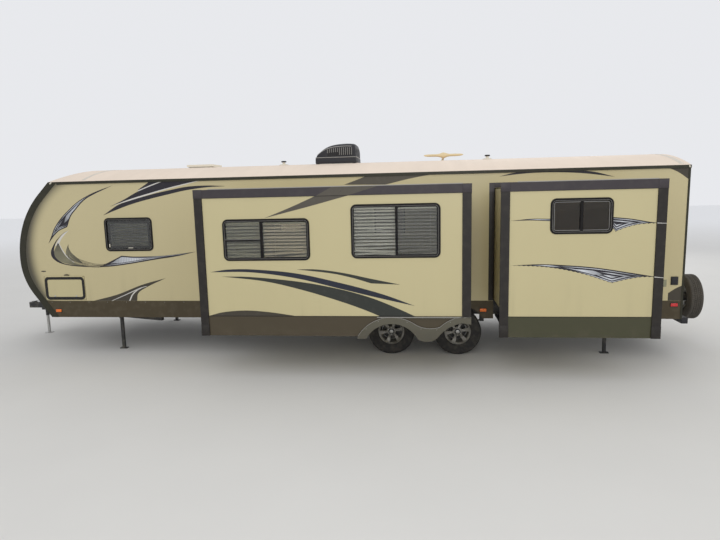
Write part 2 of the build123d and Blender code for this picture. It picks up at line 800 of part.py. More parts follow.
def wheel_rim():
    """Rim on the axis of y, its outside towards -y: a barrel, and a face with six openings."""
    inner = rim_radius - rim_wall
    barrel = rod_y(-rim_y, rim_y, 0, 0, rim_radius)
    barrel -= rod_y(-rim_y - cutter_reach, rim_y + cutter_reach, 0, 0, inner)
    slope = math.tan(math.pi / spoke_count)
    window_foot = hub_radius + hub_margin
    window_top = inner - spoke_rim_margin
    foot_half = hub_radius * slope - spoke_half_width
    head_half = window_top * slope - spoke_half_width
    window = make_face(Polyline((-foot_half, window_foot), (foot_half, window_foot),
                                (head_half, window_top - window_peak), (0, window_top),
                                (-head_half, window_top - window_peak), close=True))
    hole = along_y(window, -rim_y - cutter_reach, 0)
    face = rod_y(-rim_y, -rim_y + dish_thickness, 0, 0, inner + cutter_reach)
    for index in range(spoke_count):
        face -= Rot(0, index * 360 / spoke_count, 0) * hole
    rim = barrel + face
    rim += rod_y(-rim_y, hub_inner, 0, 0, hub_radius)
    rim -= rod_y(-hub_bore_end, hub_inner + cutter_reach, 0, 0, spindle_radius + spindle_clearance)
    return rim


def wheel_tyre():
    """Tyre on the axis of y: flat sidewalls and tread, and a sloped shoulder on its outside."""
    half = tyre_width / 2
    bore = rim_radius + cut_gap
    section = Polyline((bore, -half), (tyre_radius - shoulder, -half), (tyre_radius, -half + shoulder),
                       (tyre_radius, half), (bore, half), close=True)
    return revolve(make_face(Plane.XY * section), Axis.Y)


rim_form = wheel_rim()
tyre_form = wheel_tyre()
WHEELS = [
    ("wheel_front_road", -wheel_x, -1),
    ("wheel_rear_road", wheel_x, -1),
    ("wheel_front_door", -wheel_x, 1),
    ("wheel_rear_door", wheel_x, 1),
]
for name, x, side in WHEELS:
    place = Pos(x, side * wheel_y, tyre_radius) * Rot(0, 0, 0 if side < 0 else 180)
    put(name + "_rim", place * rim_form)
    put(name + "_tyre", place * tyre_form)

# Slide-out rooms
flange_back_y = -half_width - slide_reach
flange_front_y = flange_back_y - flange_thickness
face_out_y = flange_back_y - flange_thickness * 0.5
face_in_y = face_out_y + face_thickness
slide_end_y = -inner_y + slide_inner_depth
arm_bracket_y = -skirt_y - travel - running_gap

# Wavy fender of the road side: an arch over the front wheel, a dip, and half an arch over the rear wheel
fender_end_x = SLIDES[0][2]


def from_wheel(wheel, along, rise):
    """Point of the fender, from a wheel's centre along x and from the skirt's foot up."""
    return (wheel * wheel_x + along, skirt_bottom_z + rise)


arch_foot = from_wheel(-1, -269, -24)
arch_crown = from_wheel(-1, 76, 178)
dip_front = from_wheel(-1, 415, -27)
dip_low = from_wheel(1, -463, -60)
dip_rear = from_wheel(1, -339, -12)
rear_rise = from_wheel(1, -201, 121)
rear_crown = from_wheel(1, -17, 191)
rear_foot = (fender_end_x, skirt_bottom_z + 173)
crest_foot = from_wheel(-1, -389, -24)
crest_crown = from_wheel(-1, 77, 259)
crest_fall = from_wheel(-1, 390, 155)
crest_dip = from_wheel(1, -445, 111)
crest_rise = from_wheel(1, -300, 129)
crest_shoulder = from_wheel(1, -171, 221)
crest_rear = from_wheel(1, -17, 267)
crest_end = (fender_end_x, crest_rear[1])
front_arch = [ThreePointArc(arch_foot, arch_crown, dip_front), Line(dip_front, (dip_front[0], 0)),
              Line((dip_front[0], 0), (arch_foot[0], 0)), Line((arch_foot[0], 0), arch_foot)]
rear_arch = [ThreePointArc(dip_rear, rear_rise, rear_crown), Line(rear_crown, rear_foot),
             Line(rear_foot, (fender_end_x, 0)), Line((fender_end_x, 0), (dip_rear[0], 0)),
             Line((dip_rear[0], 0), dip_rear)]
fender_edge = [ThreePointArc(arch_foot, arch_crown, dip_front), ThreePointArc(dip_front, dip_low, dip_rear),
               ThreePointArc(dip_rear, rear_rise, rear_crown), Line(rear_crown, rear_foot),
               Line(rear_foot, crest_end), Line(crest_end, crest_rear),
               ThreePointArc(crest_rear, crest_shoulder, crest_rise),
               ThreePointArc(crest_rise, crest_dip, crest_fall),
               ThreePointArc(crest_fall, crest_crown, crest_foot), Line(crest_foot, arch_foot)]

for name, x0, x1, arms in SLIDES:
    box_x0 = x0 + slide_overlap + slide_gap
    box_x1 = x1 - slide_overlap - slide_gap
    box_z0 = floor_z + slide_gap
    box_z1 = slide_top_z - slide_overlap - slide_gap
    t = slide_wall_thickness
    flange_face = rectangle(x0, x1, skirt_bottom_z, slide_top_z)
    flange_face -= rectangle(x0 + flange_width, x1 - flange_width, skirt_bottom_z - cutter_reach,
                             slide_top_z - flange_width)
    flange_frame = along_y(flange_face, flange_front_y, flange_back_y)
    face_plate = rectangle(x0 + flange_width, x1 - flange_width, floor_z, slide_top_z - flange_width)
    face_back = rectangle(box_x0, box_x1, box_z0, box_z1)
    face_wall = along_y(face_plate, face_out_y, flange_back_y) + along_y(face_back, flange_back_y, face_in_y)
    frames = []
    panes = []
    for owner, *window in WINDOWS:
        if owner == name:
            face_wall -= window_hole(*window[:4], face_out_y - cutter_reach, face_in_y + cutter_reach)
            frames.append(window_frame(*window, face_out_y, -1, face_thickness))
            panes += window_panes(*window, face_out_y, -1, face_thickness)
    put(name + "_flange", flange_frame)
    put(name + "_face", face_wall)
    put(name + "_window_frames", *frames)
    put(name + "_glass", *panes)
    put(name + "_ends",
        slab(box_x0, box_x0 + t, face_in_y, slide_end_y, box_z0 + t, box_z1 - t),
        slab(box_x1 - t, box_x1, face_in_y, slide_end_y, box_z0 + t, box_z1 - t))
    slide_floor = slab(box_x0, box_x1, face_in_y, slide_end_y, box_z0, box_z0 + t)
    slide_roof = slab(box_x0, box_x1, face_in_y, slide_end_y, box_z1 - t, box_z1)
    valance_face = rectangle(x0 + flange_width, x1 - flange_width, skirt_bottom_z, floor_z)
    valance = along_y(valance_face, face_out_y, flange_back_y)
    slide_arms = []
    for x in arms:
        arm = slab(x - arm_half, x + arm_half, flange_back_y, -rail_y + arm_inner_length,
                   arm_z - arm_half, arm_z + arm_half)
        arm += slab(x - arm_bracket_width / 2, x + arm_bracket_width / 2, flange_back_y, arm_bracket_y,
                    arm_z - arm_half, box_z0)
        slide_arms.append(arm)
    put(name + "_decks", slide_roof, slide_floor, *slide_arms)
    if name == "slide_1":
        arch_cut = make_face(front_arch)
        rear_cut = make_face(rear_arch)
        fender = along_y(make_face(fender_edge), flange_front_y - fender_proud, face_out_y)
        valance -= along_y(arch_cut, face_out_y - cutter_reach, flange_back_y + cutter_reach)
        valance -= along_y(rear_cut, face_out_y - cutter_reach, flange_back_y + cutter_reach)
        valance += fender
        pieces[name + "_flange"][0] -= slab(x1 - flange_width, x1 + cutter_reach,
                                            flange_front_y - cutter_reach, flange_back_y + cutter_reach,
                                            skirt_bottom_z - cutter_reach, floor_z)
    put(name + "_valance", *valance.solids())

# Root windows
frames = []
panes = []
for owner, *window in WINDOWS:
    if owner in ("road_wall", "door_wall"):
        out = -1 if owner == "road_wall" else 1
        frames.append(window_frame(*window, out * half_width, out, wall_thickness))
        panes += window_panes(*window, out * half_width, out, wall_thickness)
put("window_frames", *frames)
put("window_glass", *panes)

# Doors
door_hinge_y = half_width + door_hinge_radius + hinge_seat
door_hinge_x = door_x - door_gap / 2
entry_door = slab(door_x, door_x + door_width, half_width - door_thickness, half_width,
                  door_sill_z, door_top_z)


def door_window(gap):
    """Window of the entry door, smaller by a gap all round."""
    side = door_window_side + gap
    return rounded(door_x + side, door_x + door_width - side, door_sill_z + door_window_foot + gap,
                   door_top_z - door_window_drop - gap, door_window_corner - gap)


entry_door -= along_y(door_window(0), half_width - door_thickness - cutter_reach, half_width + cutter_reach)
for z in (door_sill_z + hinge_inset, (door_sill_z + door_top_z) / 2, door_top_z - hinge_inset):
    entry_door += rod_z(z - hinge_half, z + hinge_half, door_hinge_x, door_hinge_y, door_hinge_radius)
    entry_door += slab(door_hinge_x, door_x + hinge_leaf_reach, half_width, half_width + hinge_leaf,
                       z - hinge_half, z + hinge_half)
handle_x = door_x + door_width - handle_inset
entry_door += slab(handle_x - handle_half_width, handle_x + handle_half_width,
                   half_width, half_width + handle_proud,
                   handle_z - handle_half_height, handle_z + handle_half_height)
put("entry_door", entry_door)
door_pane_y = half_width - door_thickness / 2
put("entry_door_glass", along_y(door_window(cut_gap), door_pane_y - door_pane_thickness / 2,
                                door_pane_y + door_pane_thickness / 2))

bag_top_z = baggage_z + baggage_height
BAGGAGE_DOORS = [("baggage_door_road", -1), ("baggage_door_near", 1)]
frame_outer = rounded(baggage_x, baggage_x + baggage_width, baggage_z, bag_top_z, baggage_frame_corner)
frame_inner = rounded(baggage_x + baggage_frame_width, baggage_x + baggage_width - baggage_frame_width,
                      baggage_z + baggage_frame_width, bag_top_z - baggage_frame_width,
                      baggage_frame_corner / 2)
hinge_x0 = baggage_x + baggage_hinge_inset
hinge_x1 = baggage_x + baggage_width - baggage_hinge_inset
for name, side in BAGGAGE_DOORS:
    y0, y1 = sorted((side * half_width, side * (half_width - baggage_thickness)))
    lid = slab(baggage_x, baggage_x + baggage_width, y0, y1, baggage_z, bag_top_z)
    y0, y1 = sorted((side * half_width, side * (half_width + baggage_frame_proud)))
    lid += along_y(frame_outer - frame_inner, y0, y1)
    lid += slab(hinge_x0, hinge_x1, y0, y1, bag_top_z - baggage_hinge_drop, bag_top_z)
    hinge_y = side * (half_width + door_hinge_radius + hinge_seat)
    lid += rod_x(hinge_x0, hinge_x1, hinge_y, bag_top_z + door_gap / 2, door_hinge_radius)
    put(name, lid)

# Pull-out step below the entry door, carried in two channels
step_x0 = door_x + (door_width - step_width) / 2
step_x1 = step_x0 + step_width
step_y1 = half_width + step_out
step = slab(step_x0, step_x1, step_y1 - step_depth, step_y1, step_z - step_thickness, step_z)
channel_out = channel_wall + channel_gap
for x in (step_x0, step_x1 - step_thickness):
    step += slab(x, x + step_thickness, rail_y - step_rail_reach, step_y1 - step_depth,
                 step_z - step_thickness, step_z)
    channel = slab(x - channel_out, x + step_thickness + channel_out,
                   rail_y - channel_front, rail_y + channel_rear,
                   step_z - step_thickness - channel_out, step_z + channel_out)
    channel -= slab(x - channel_gap, x + step_thickness + channel_gap,
                    rail_y - channel_front - cutter_reach, half_width,
                    step_z - step_thickness - channel_gap, step_z + channel_gap)
    post_inset = channel_post_inset - channel_out
    channel += slab(x + post_inset, x + step_thickness - post_inset,
                    rail_y - channel_post_half, rail_y + channel_post_half,
                    step_z + channel_out, rail_bottom_z)
    chassis += channel
put("entry_step", step)

# Roof equipment: whatever stands on the roof is cut to the roof's bow
roof_bow = along_x(make_face([ThreePointArc((-half_width, wall_top_z + roof_seat), (0, crown_z + roof_seat),
                                            (half_width, wall_top_z + roof_seat)),
                              Polyline((half_width, wall_top_z + roof_seat), (half_width, floor_z),
                                       (-half_width, floor_z), (-half_width, wall_top_z + roof_seat))]),
                   bulge_x, rear_x)

# Roof cooler: pan, and an arched shroud with louvres in its sides and slots in its rear
cooler_top_z = crown_z + cooler_height
pan_top_z = crown_z + cooler_pan_height
cooler_length = cooler_rear_x - cooler_front_x
shroud_height = cooler_top_z - pan_top_z
shroud_side = cooler_width / 2 - shroud_inset


def shroud_at(along, rise):
    """Point of the shroud's side view, as shares of its length and height."""
    return (cooler_front_x + along * cooler_length, pan_top_z + rise * shroud_height)


shroud_face = make_face([
    ThreePointArc(shroud_at(0, 0), shroud_at(0.19, 0.62), shroud_at(0.60, 1)),
    Line(shroud_at(0.60, 1), shroud_at(0.93, 0.97)),
    ThreePointArc(shroud_at(0.93, 0.97), shroud_at(0.98, 0.89), shroud_at(0.99, 0.72)),
    Line(shroud_at(0.99, 0.72), shroud_at(1, 0)),
    Line(shroud_at(1, 0), shroud_at(0, 0))])
cooler = slab(cooler_front_x, cooler_rear_x, -cooler_width / 2, cooler_width / 2,
              crown_z - roof_sink, pan_top_z)
cooler -= roof_bow
cooler += along_y(shroud_face, -shroud_side, shroud_side)
for index in range(louvre_count):
    x = cooler_front_x + louvre_start + index * louvre_pitch
    slot = slab(x, x + louvre_width, -cooler_width, -shroud_side + louvre_depth, pan_top_z + louvre_foot,
                cooler_top_z - louvre_head)
    cooler -= slot
    cooler -= mirror(slot, Plane.XZ)
for index in range(grille_slots):
    z = pan_top_z + louvre_foot + index * grille_pitch
    cooler -= slab(cooler_rear_x - louvre_depth, cooler_rear_x + cutter_reach, -shroud_side + grille_margin,
                   shroud_side - grille_margin, z, z + grille_slot)
put("ac_unit", cooler)

vent_half = vent_size / 2
vent_bore = vent_half - vent_wall
vent_top_z = crown_z + vent_rise
vent_frame = slab(vent_x - vent_half, vent_x + vent_half, -vent_half, vent_half,
                  crown_z - roof_sink, vent_top_z)
vent_frame -= slab(vent_x - vent_bore, vent_x + vent_bore, -vent_bore, vent_bore,
                   crown_z - roof_sink - cutter_reach, vent_top_z + cutter_reach)
lid_half = vent_lid_size / 2
lid_z = vent_top_z + hinge_seat
vent_lid = slab(vent_x - lid_half, vent_x + lid_half, -lid_half, lid_half,
                lid_z - lid_skirt, lid_z + lid_crown)
lid_bore = lid_half - lid_wall
vent_lid -= slab(vent_x - lid_bore, vent_x + lid_bore, -lid_bore, lid_bore,
                 lid_z - lid_skirt - cutter_reach, lid_z)
vent_lid += rod_y(-vent_half, vent_half, vent_x + lid_half, lid_z - lid_skirt, vent_barrel)
put("vent_lid", vent_lid)

# Vent pipes, each on a square boot under a cap
pipe_places = [(-2300.0, -250.0), (1020.0, -250.0)]
fittings = [vent_frame - roof_bow]
for x, y in pipe_places:
    boot_z = roof_height(y) + boot_height
    boot = slab(x - boot_half, x + boot_half, y - boot_half, y + boot_half, boot_z - roof_sink, boot_z)
    pipe = boot - roof_bow
    pipe += rod_z(boot_z, boot_z + pipe_height, x, y, pipe_radius)
    pipe += rod_z(boot_z + pipe_height, boot_z + pipe_height + pipe_cap_height, x, y, pipe_cap_radius)
    fittings.append(pipe)

# Antenna: foot with two cheeks, lift tube, and the level head that the tube carries
antenna_pivot_z = roof_height(antenna_pivot_y) + antenna_base_half
base = slab(antenna_x - antenna_base_half, antenna_x + antenna_base_half,
            antenna_pivot_y - antenna_base_half_width, antenna_pivot_y + antenna_base_half_width,
            antenna_pivot_z - antenna_base_foot, antenna_pivot_z - antenna_base_top)
for side in (-1, 1):
    x0, x1 = sorted((antenna_x + side * antenna_cheek_in, antenna_x + side * antenna_cheek_out))
    base += slab(x0, x1, antenna_pivot_y - antenna_cheek_half, antenna_pivot_y + antenna_cheek_half,
                 antenna_pivot_z - antenna_base_top - antenna_cheek_overlap,
                 antenna_pivot_z + antenna_cheek_top)
base -= rod_x(antenna_x - antenna_base_half, antenna_x + antenna_base_half, antenna_pivot_y, antenna_pivot_z,
              mast_pin + pin_clearance)
fittings.append(base - roof_bow)
put("roof_fittings", *fittings)

head_y = antenna_pivot_y - antenna_tube_length
head_z = crown_z + antenna_rise
tube_rise = head_z - antenna_pivot_z
tube_turn = Rot(-math.degrees(math.atan2(tube_rise, antenna_tube_length)), 0, 0)
tube_length = math.hypot(tube_rise, antenna_tube_length)
mast_middle = Pos(antenna_x, (antenna_pivot_y + head_y) / 2, (antenna_pivot_z + head_z) / 2)
mast = mast_middle * tube_turn * Box(mast_width, tube_length - mast_cut, mast_depth)
mast += rod_x(antenna_x - antenna_cheek_in + cutter_reach, antenna_x + antenna_cheek_in - cutter_reach,
              antenna_pivot_y, antenna_pivot_z, mast_knuckle)
mast += (Pos(antenna_x, antenna_pivot_y, antenna_pivot_z) * tube_turn * Pos(0, -mast_neck / 2, 0)
         * Box(mast_width, mast_neck, head_neck_depth))
mast += rod_x(antenna_x - mast_pin_half, antenna_x + mast_pin_half,
              antenna_pivot_y, antenna_pivot_z, mast_pin)
mast += rod_x(antenna_x - head_neck_width / 2, antenna_x + head_neck_width / 2, head_y, head_z, head_knuckle)
mast += (Pos(antenna_x, head_y, head_z) * tube_turn * Pos(0, head_neck / 2, 0)
         * Box(head_neck_width, head_neck, head_neck_depth))
mast += rod_x(antenna_x - head_pin_half, antenna_x + head_pin_half, head_y, head_z, head_pin)
put("antenna_mast", mast)
head = slab(antenna_x - antenna_span / 2, antenna_x + antenna_span / 2,
            head_y - head_front, head_y + head_rear, head_z + head_foot, head_z + head_foot + head_thickness)
for side in (-1, 1):
    x0, x1 = sorted((antenna_x + side * head_cheek_in, antenna_x + side * head_pin_half))
    head += slab(x0, x1, head_y - head_cheek_half, head_y + head_cheek_half, head_z - head_cheek_drop,
                 head_z + head_foot)
head -= rod_x(antenna_x - mast_pin_half, antenna_x + mast_pin_half, head_y, head_z, head_pin + pin_clearance)
put("antenna_head", head)

# Bumper, spare wheel and its carrier
bumper = slab(bumper_x - bumper_size / 2, bumper_x + bumper_size / 2, -bumper_length / 2, bumper_length / 2,
              bumper_z - bumper_size / 2, bumper_z + bumper_size / 2)
bore_half = bumper_size / 2 - bumper_wall
bumper -= slab(bumper_x - bore_half, bumper_x + bore_half, -bumper_length, bumper_length,
               bumper_z - bore_half, bumper_z + bore_half)
carrier_x = spare_x - tyre_width / 2 - carrier_thickness - carrier_gap
for y in (spare_y - carrier_bar_y, spare_y + carrier_bar_y):
    bumper += slab(bumper_x + bumper_size / 2, carrier_x, y - carrier_bar_half, y + carrier_bar_half,
                   bumper_z - carrier_bar_half, bumper_z + carrier_bar_half)
bumper += slab(carrier_x, carrier_x + carrier_thickness,
               spare_y - carrier_half_width, spare_y + carrier_half_width,
               bumper_z - carrier_bar_half, spare_z + carrier_top)
bumper += rod_x(carrier_x + carrier_thickness, spare_x - hub_inner - hinge_seat, spare_y, spare_z, hub_radius)
put("bumper", bumper)
spare_place = Pos(spare_x, spare_y, spare_z) * Rot(0, 0, 90)
put("spare_rim", spare_place * rim_form)
put("spare_tyre", spare_place * tyre_form)

# Gas cylinders on their tray
cylinder_y = gas_radius + gas_gap
tray_top_z = tongue_top_z + gas_tray_thickness
chassis += slab(gas_x - gas_tray_half_length, gas_x + gas_tray_half_length, -gas_tray_half_width,
                gas_tray_half_width, tongue_top_z, tray_top_z)
put("chassis", *chassis.solids())
bottle_side = Polyline((0, 0), (gas_radius, 0), (gas_radius, gas_height - gas_shoulder),
                       (gas_collar_radius, gas_height), (gas_collar_radius, gas_height + gas_collar_height),
                       (gas_collar_radius - gas_collar_wall, gas_height + gas_collar_height),
                       (gas_collar_radius - gas_collar_wall, gas_height), (0, gas_height), close=True)
bottle = revolve(make_face(Plane.XZ * bottle_side), Axis.Z)
for y in (-cylinder_y, cylinder_y):
    put("gas_cylinders", Pos(gas_x, y, tray_top_z) * bottle)

# Awning, rolled up on the door side
awning_y = half_width + rail_depth + awning_radius + awning_gap
awning_z = wall_top_z - awning_drop
awning = rod_x(awning_x0, awning_x1, awning_y, awning_z, awning_radius)
arm_top_z = wall_top_z - rail_height - cutter_reach
for x in (awning_x0 - awning_arm_width, awning_x1):
    awning += slab(x, x + awning_arm_width, half_width, half_width + awning_arm_depth,
                   awning_foot_z, arm_top_z)
    awning += slab(x, x + awning_arm_width, half_width, awning_y + awning_bracket,
                   awning_z - awning_bracket_drop, arm_top_z)
put("awning", awning)

# Marker lamps on the skirts, at x and z, and lamps on the rear wall
MARKERS = [(-5890.0, 688.0), (868.0, 706.0), (3532.0, 786.0)]
for side in (-1, 1):
    for x, z in MARKERS:
        y0, y1 = sorted((side * half_width, side * (half_width + lamp_depth)))
        put("lamps", slab(x - lamp_length / 2, x + lamp_length / 2, y0, y1,
                          z - lamp_height / 2, z + lamp_height / 2))
    y = side * rear_lamp_y
    put("lamps", slab(rear_x, rear_x + rear_lamp_depth, y - rear_lamp_width / 2, y + rear_lamp_width / 2,
                      rear_lamp_z - rear_lamp_height / 2, rear_lamp_z + rear_lamp_height / 2))

# Power inlet hatch on the road side, waste outlet below, grab handle beside the door
put("service_fittings", slab(inlet_x - inlet_width / 2, inlet_x + inlet_width / 2, -half_width - inlet_depth,
                             -half_width, inlet_z - inlet_height / 2, inlet_z + inlet_height / 2))
outlet_mouth_y = -half_width + outlet_setback
outlet = rod_y(outlet_mouth_y, -rail_y + outlet_end_inset, outlet_x, outlet_z, outlet_radius + outlet_wall)
outlet += slab(outlet_x - outlet_strap_half, outlet_x + outlet_strap_half, -rail_y - outlet_strap_half,
               -rail_y + outlet_strap_half, outlet_z, rail_bottom_z)
outlet -= rod_y(outlet_mouth_y - cutter_reach, outlet_mouth_y + outlet_depth, outlet_x, outlet_z,
                outlet_radius)
put("service_fittings", outlet)
grab_x = door_x + door_width + grab_gap
grab_y = half_width + grab_reach
grab_path = FilletPolyline((grab_x, half_width, grab_low_z), (grab_x, grab_y, grab_low_z),
                           (grab_x, grab_y, grab_high_z), (grab_x, half_width, grab_high_z), radius=grab_bend)
grab_section = Plane((grab_x, half_width, grab_low_z), x_dir=(1, 0, 0), z_dir=(0, 1, 0))
put("grab_handle", sweep(grab_section * Rectangle(grab_width, grab_depth), path=grab_path))

# Origin at the middle of the bounding box's foot
boxes = [solid.bounding_box() for solids in pieces.values() for solid in solids]
origin_x = (min(box.min.X for box in boxes) + max(box.max.X for box in boxes)) / 2
origin_y = (min(box.min.Y for box in boxes) + max(box.max.Y for box in boxes)) / 2
origin_z = min(box.min.Z for box in boxes)
shift = Pos(-origin_x, -origin_y, -origin_z)

os.makedirs("parts", exist_ok=True)
for name, shapes in pieces.items():
    solids = [solid for shape in shapes for solid in shape.solids()]
    whole = solids[0] if len(solids) == 1 else Compound(solids)
    export_step(shift * whole, f"parts/{name}.step")
print(len(pieces), "sub-parts, origin", origin_x, origin_y, origin_z)
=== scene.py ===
"""Looks of a travel caravan with two slide-out rooms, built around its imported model.

Lengths are metres. Shapes are worked out in the caravan's own coordinates: x from halfway between the axles
towards the rear, y from the centre line, z from the ground. ORIGIN moves them to the shared frame at the end.
"""

import logging
import math
from dataclasses import dataclass
from enum import Enum

import bmesh
import bpy
import numpy as np
from mathutils import Matrix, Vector
from mathutils.bvhtree import BVHTree


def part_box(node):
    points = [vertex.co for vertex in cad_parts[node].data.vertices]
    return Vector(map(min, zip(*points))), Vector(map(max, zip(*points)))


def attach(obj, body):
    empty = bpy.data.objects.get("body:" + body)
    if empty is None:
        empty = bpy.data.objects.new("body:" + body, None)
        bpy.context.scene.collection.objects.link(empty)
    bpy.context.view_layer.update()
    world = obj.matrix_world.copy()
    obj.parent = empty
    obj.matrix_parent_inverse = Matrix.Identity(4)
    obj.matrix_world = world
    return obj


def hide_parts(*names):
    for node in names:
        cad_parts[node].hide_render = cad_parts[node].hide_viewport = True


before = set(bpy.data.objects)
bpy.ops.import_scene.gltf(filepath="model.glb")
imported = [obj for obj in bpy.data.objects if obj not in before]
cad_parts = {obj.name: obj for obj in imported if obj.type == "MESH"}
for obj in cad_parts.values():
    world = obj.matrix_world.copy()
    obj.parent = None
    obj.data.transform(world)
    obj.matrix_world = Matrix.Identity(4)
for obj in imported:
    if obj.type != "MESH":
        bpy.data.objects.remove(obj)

LOG = logging.getLogger("caravan")
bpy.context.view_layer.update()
WHOLE_TURN = 2 * math.pi
UP_X, UP_Y, UP_Z = (1, 0, 0), (0, 1, 0), (0, 0, 1)


def middle(node: str) -> np.ndarray:
    """Middle of a node's box in the shared frame."""
    return np.array(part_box(node)).mean(axis=0)


ORIGIN = np.array([middle("axles")[0], middle("roof")[1], 0.0])


class Box:
    """Box of a node or a solid in the caravan's own coordinates, with its sides by name."""

    def __init__(self, low: np.ndarray, high: np.ndarray) -> None:
        """Keep two corners in the shared frame, and find which way the box looks from the centre line.

        Args:
            low, high: Corners in the shared frame.
        """
        self.low, self.high = np.array(low) - ORIGIN, np.array(high) - ORIGIN
        self.x0, self.y0, self.z0 = self.low
        self.x1, self.y1, self.z1 = self.high
        self.centre, self.size = (self.low + self.high) / 2, self.high - self.low
        self.out = math.copysign(1.0, self.y0)
        self.back, self.face = (self.y1, self.y0) if self.out < 0 else (self.y0, self.y1)

    @classmethod
    def of(cls, node: str) -> "Box":
        """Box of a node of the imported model."""
        return cls(*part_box(node))

    @classmethod
    def solids(cls, node: str) -> list["Box"]:
        """Boxes of the separate solids of one node.

        Args:
            node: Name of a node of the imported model.

        Returns:
            One box for each solid, sorted along x, then y, then z.
        """
        mesh = welded(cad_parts[node].data)
        left, boxes = set(mesh.verts), []
        while left:
            front, island = [left.pop()], []
            while front:
                vertex = front.pop()
                island.append(vertex.co[:])
                near = {edge.other_vert(vertex) for edge in vertex.link_edges} & left
                left -= near
                front += near
            corners = np.array(island)
            boxes.append(cls(corners.min(axis=0), corners.max(axis=0)))
        mesh.free()
        return sorted(boxes, key=lambda box: tuple(np.round(np.concatenate([box.low, box.high]), 4)))

    def loop(self, inset: float, radius: float, steps: int = 6, second: int = 2) -> np.ndarray:
        """Rounded rectangle inside the box, seen along y, or from above where second is 1."""
        return rounded_loop(self.x0 + inset, self.x1 - inset, self.low[second] + inset,
                            self.high[second] - inset, radius, steps)


def welded(mesh: bpy.types.Mesh, reach: float = 1e-5) -> bmesh.types.BMesh:
    """Editable copy of a mesh, with the corners of its loose faces merged.

    Args:
        mesh: The mesh.
        reach: How far apart two corners may lie.

    Returns:
        The copy, to be freed after use.
    """
    work = bmesh.new()
    work.from_mesh(mesh)
    bmesh.ops.remove_doubles(work, verts=work.verts, dist=reach)
    return work


def vertices(mesh: bpy.types.Mesh) -> np.ndarray:
    """Places of a mesh's vertices, as an array of three columns.

    Args:
        mesh: The mesh.

    Returns:
        The array.
    """
    places = np.empty(len(mesh.vertices) * 3, np.float32)
    mesh.vertices.foreach_get("co", places)
    return places.reshape(-1, 3)


ROAD_WALL = Box.of("road_wall")
ROAD_Y, WALL_FOOT, WALL_TOP = ROAD_WALL.y0, ROAD_WALL.z0, ROAD_WALL.z1
DOOR_Y = Box.of("door_wall").y1
AXLE = tuple(map(float, Box.of("wheel_rear_road_tyre").centre[[0, 2]]))
SPARE = tuple(map(float, Box.of("spare_tyre").centre[[1, 2]]))


class Wire:
    """A shader socket with arithmetic: an expression on values adds the Math nodes that work it out."""

    def __init__(self, shop: "Shop", socket: bpy.types.NodeSocket) -> None:
        """Keep the socket and the node tree that it belongs to."""
        self.shop, self.socket = shop, socket

    def joined(self, operation: str, *others: "Wire | float") -> "Wire":
        """Math node on this value and others."""
        return self.shop.node("Math", {"operation": operation}, dict(enumerate((self, *others))))

    def __add__(self, other: "Wire | float") -> "Wire":
        """Sum."""
        return self.joined("ADD", other)

    def __sub__(self, other: "Wire | float") -> "Wire":
        """Difference."""
        return self.joined("SUBTRACT", other)

    def __rsub__(self, other: float) -> "Wire":
        """Number less this value."""
        return self * -1 + other

    def __mul__(self, other: "Wire | float") -> "Wire":
        """Product."""
        return self.joined("MULTIPLY", other)

    def __pow__(self, other: "Wire | float") -> "Wire":
        """Power."""
        return self.joined("POWER", other)

    __radd__, __rmul__ = __add__, __mul__

    def ramp(self, low: float, high: float) -> "Wire":
        """Smooth step from 0 at low to 1 at high, or from 1 to 0 where low is above high."""
        limits = (low, high, 0.0, 1.0) if low < high else (high, low, 1.0, 0.0)
        return self.shop.node("MapRange", {"interpolation_type": "SMOOTHSTEP"}, dict(enumerate((self, *limits))))


def tint(colour: tuple, share: float, lift: float = 0.0) -> tuple:
    """Colour times a share, plus a little white, up to 1."""
    return tuple(min(1.0, lift + value * share) for value in colour)


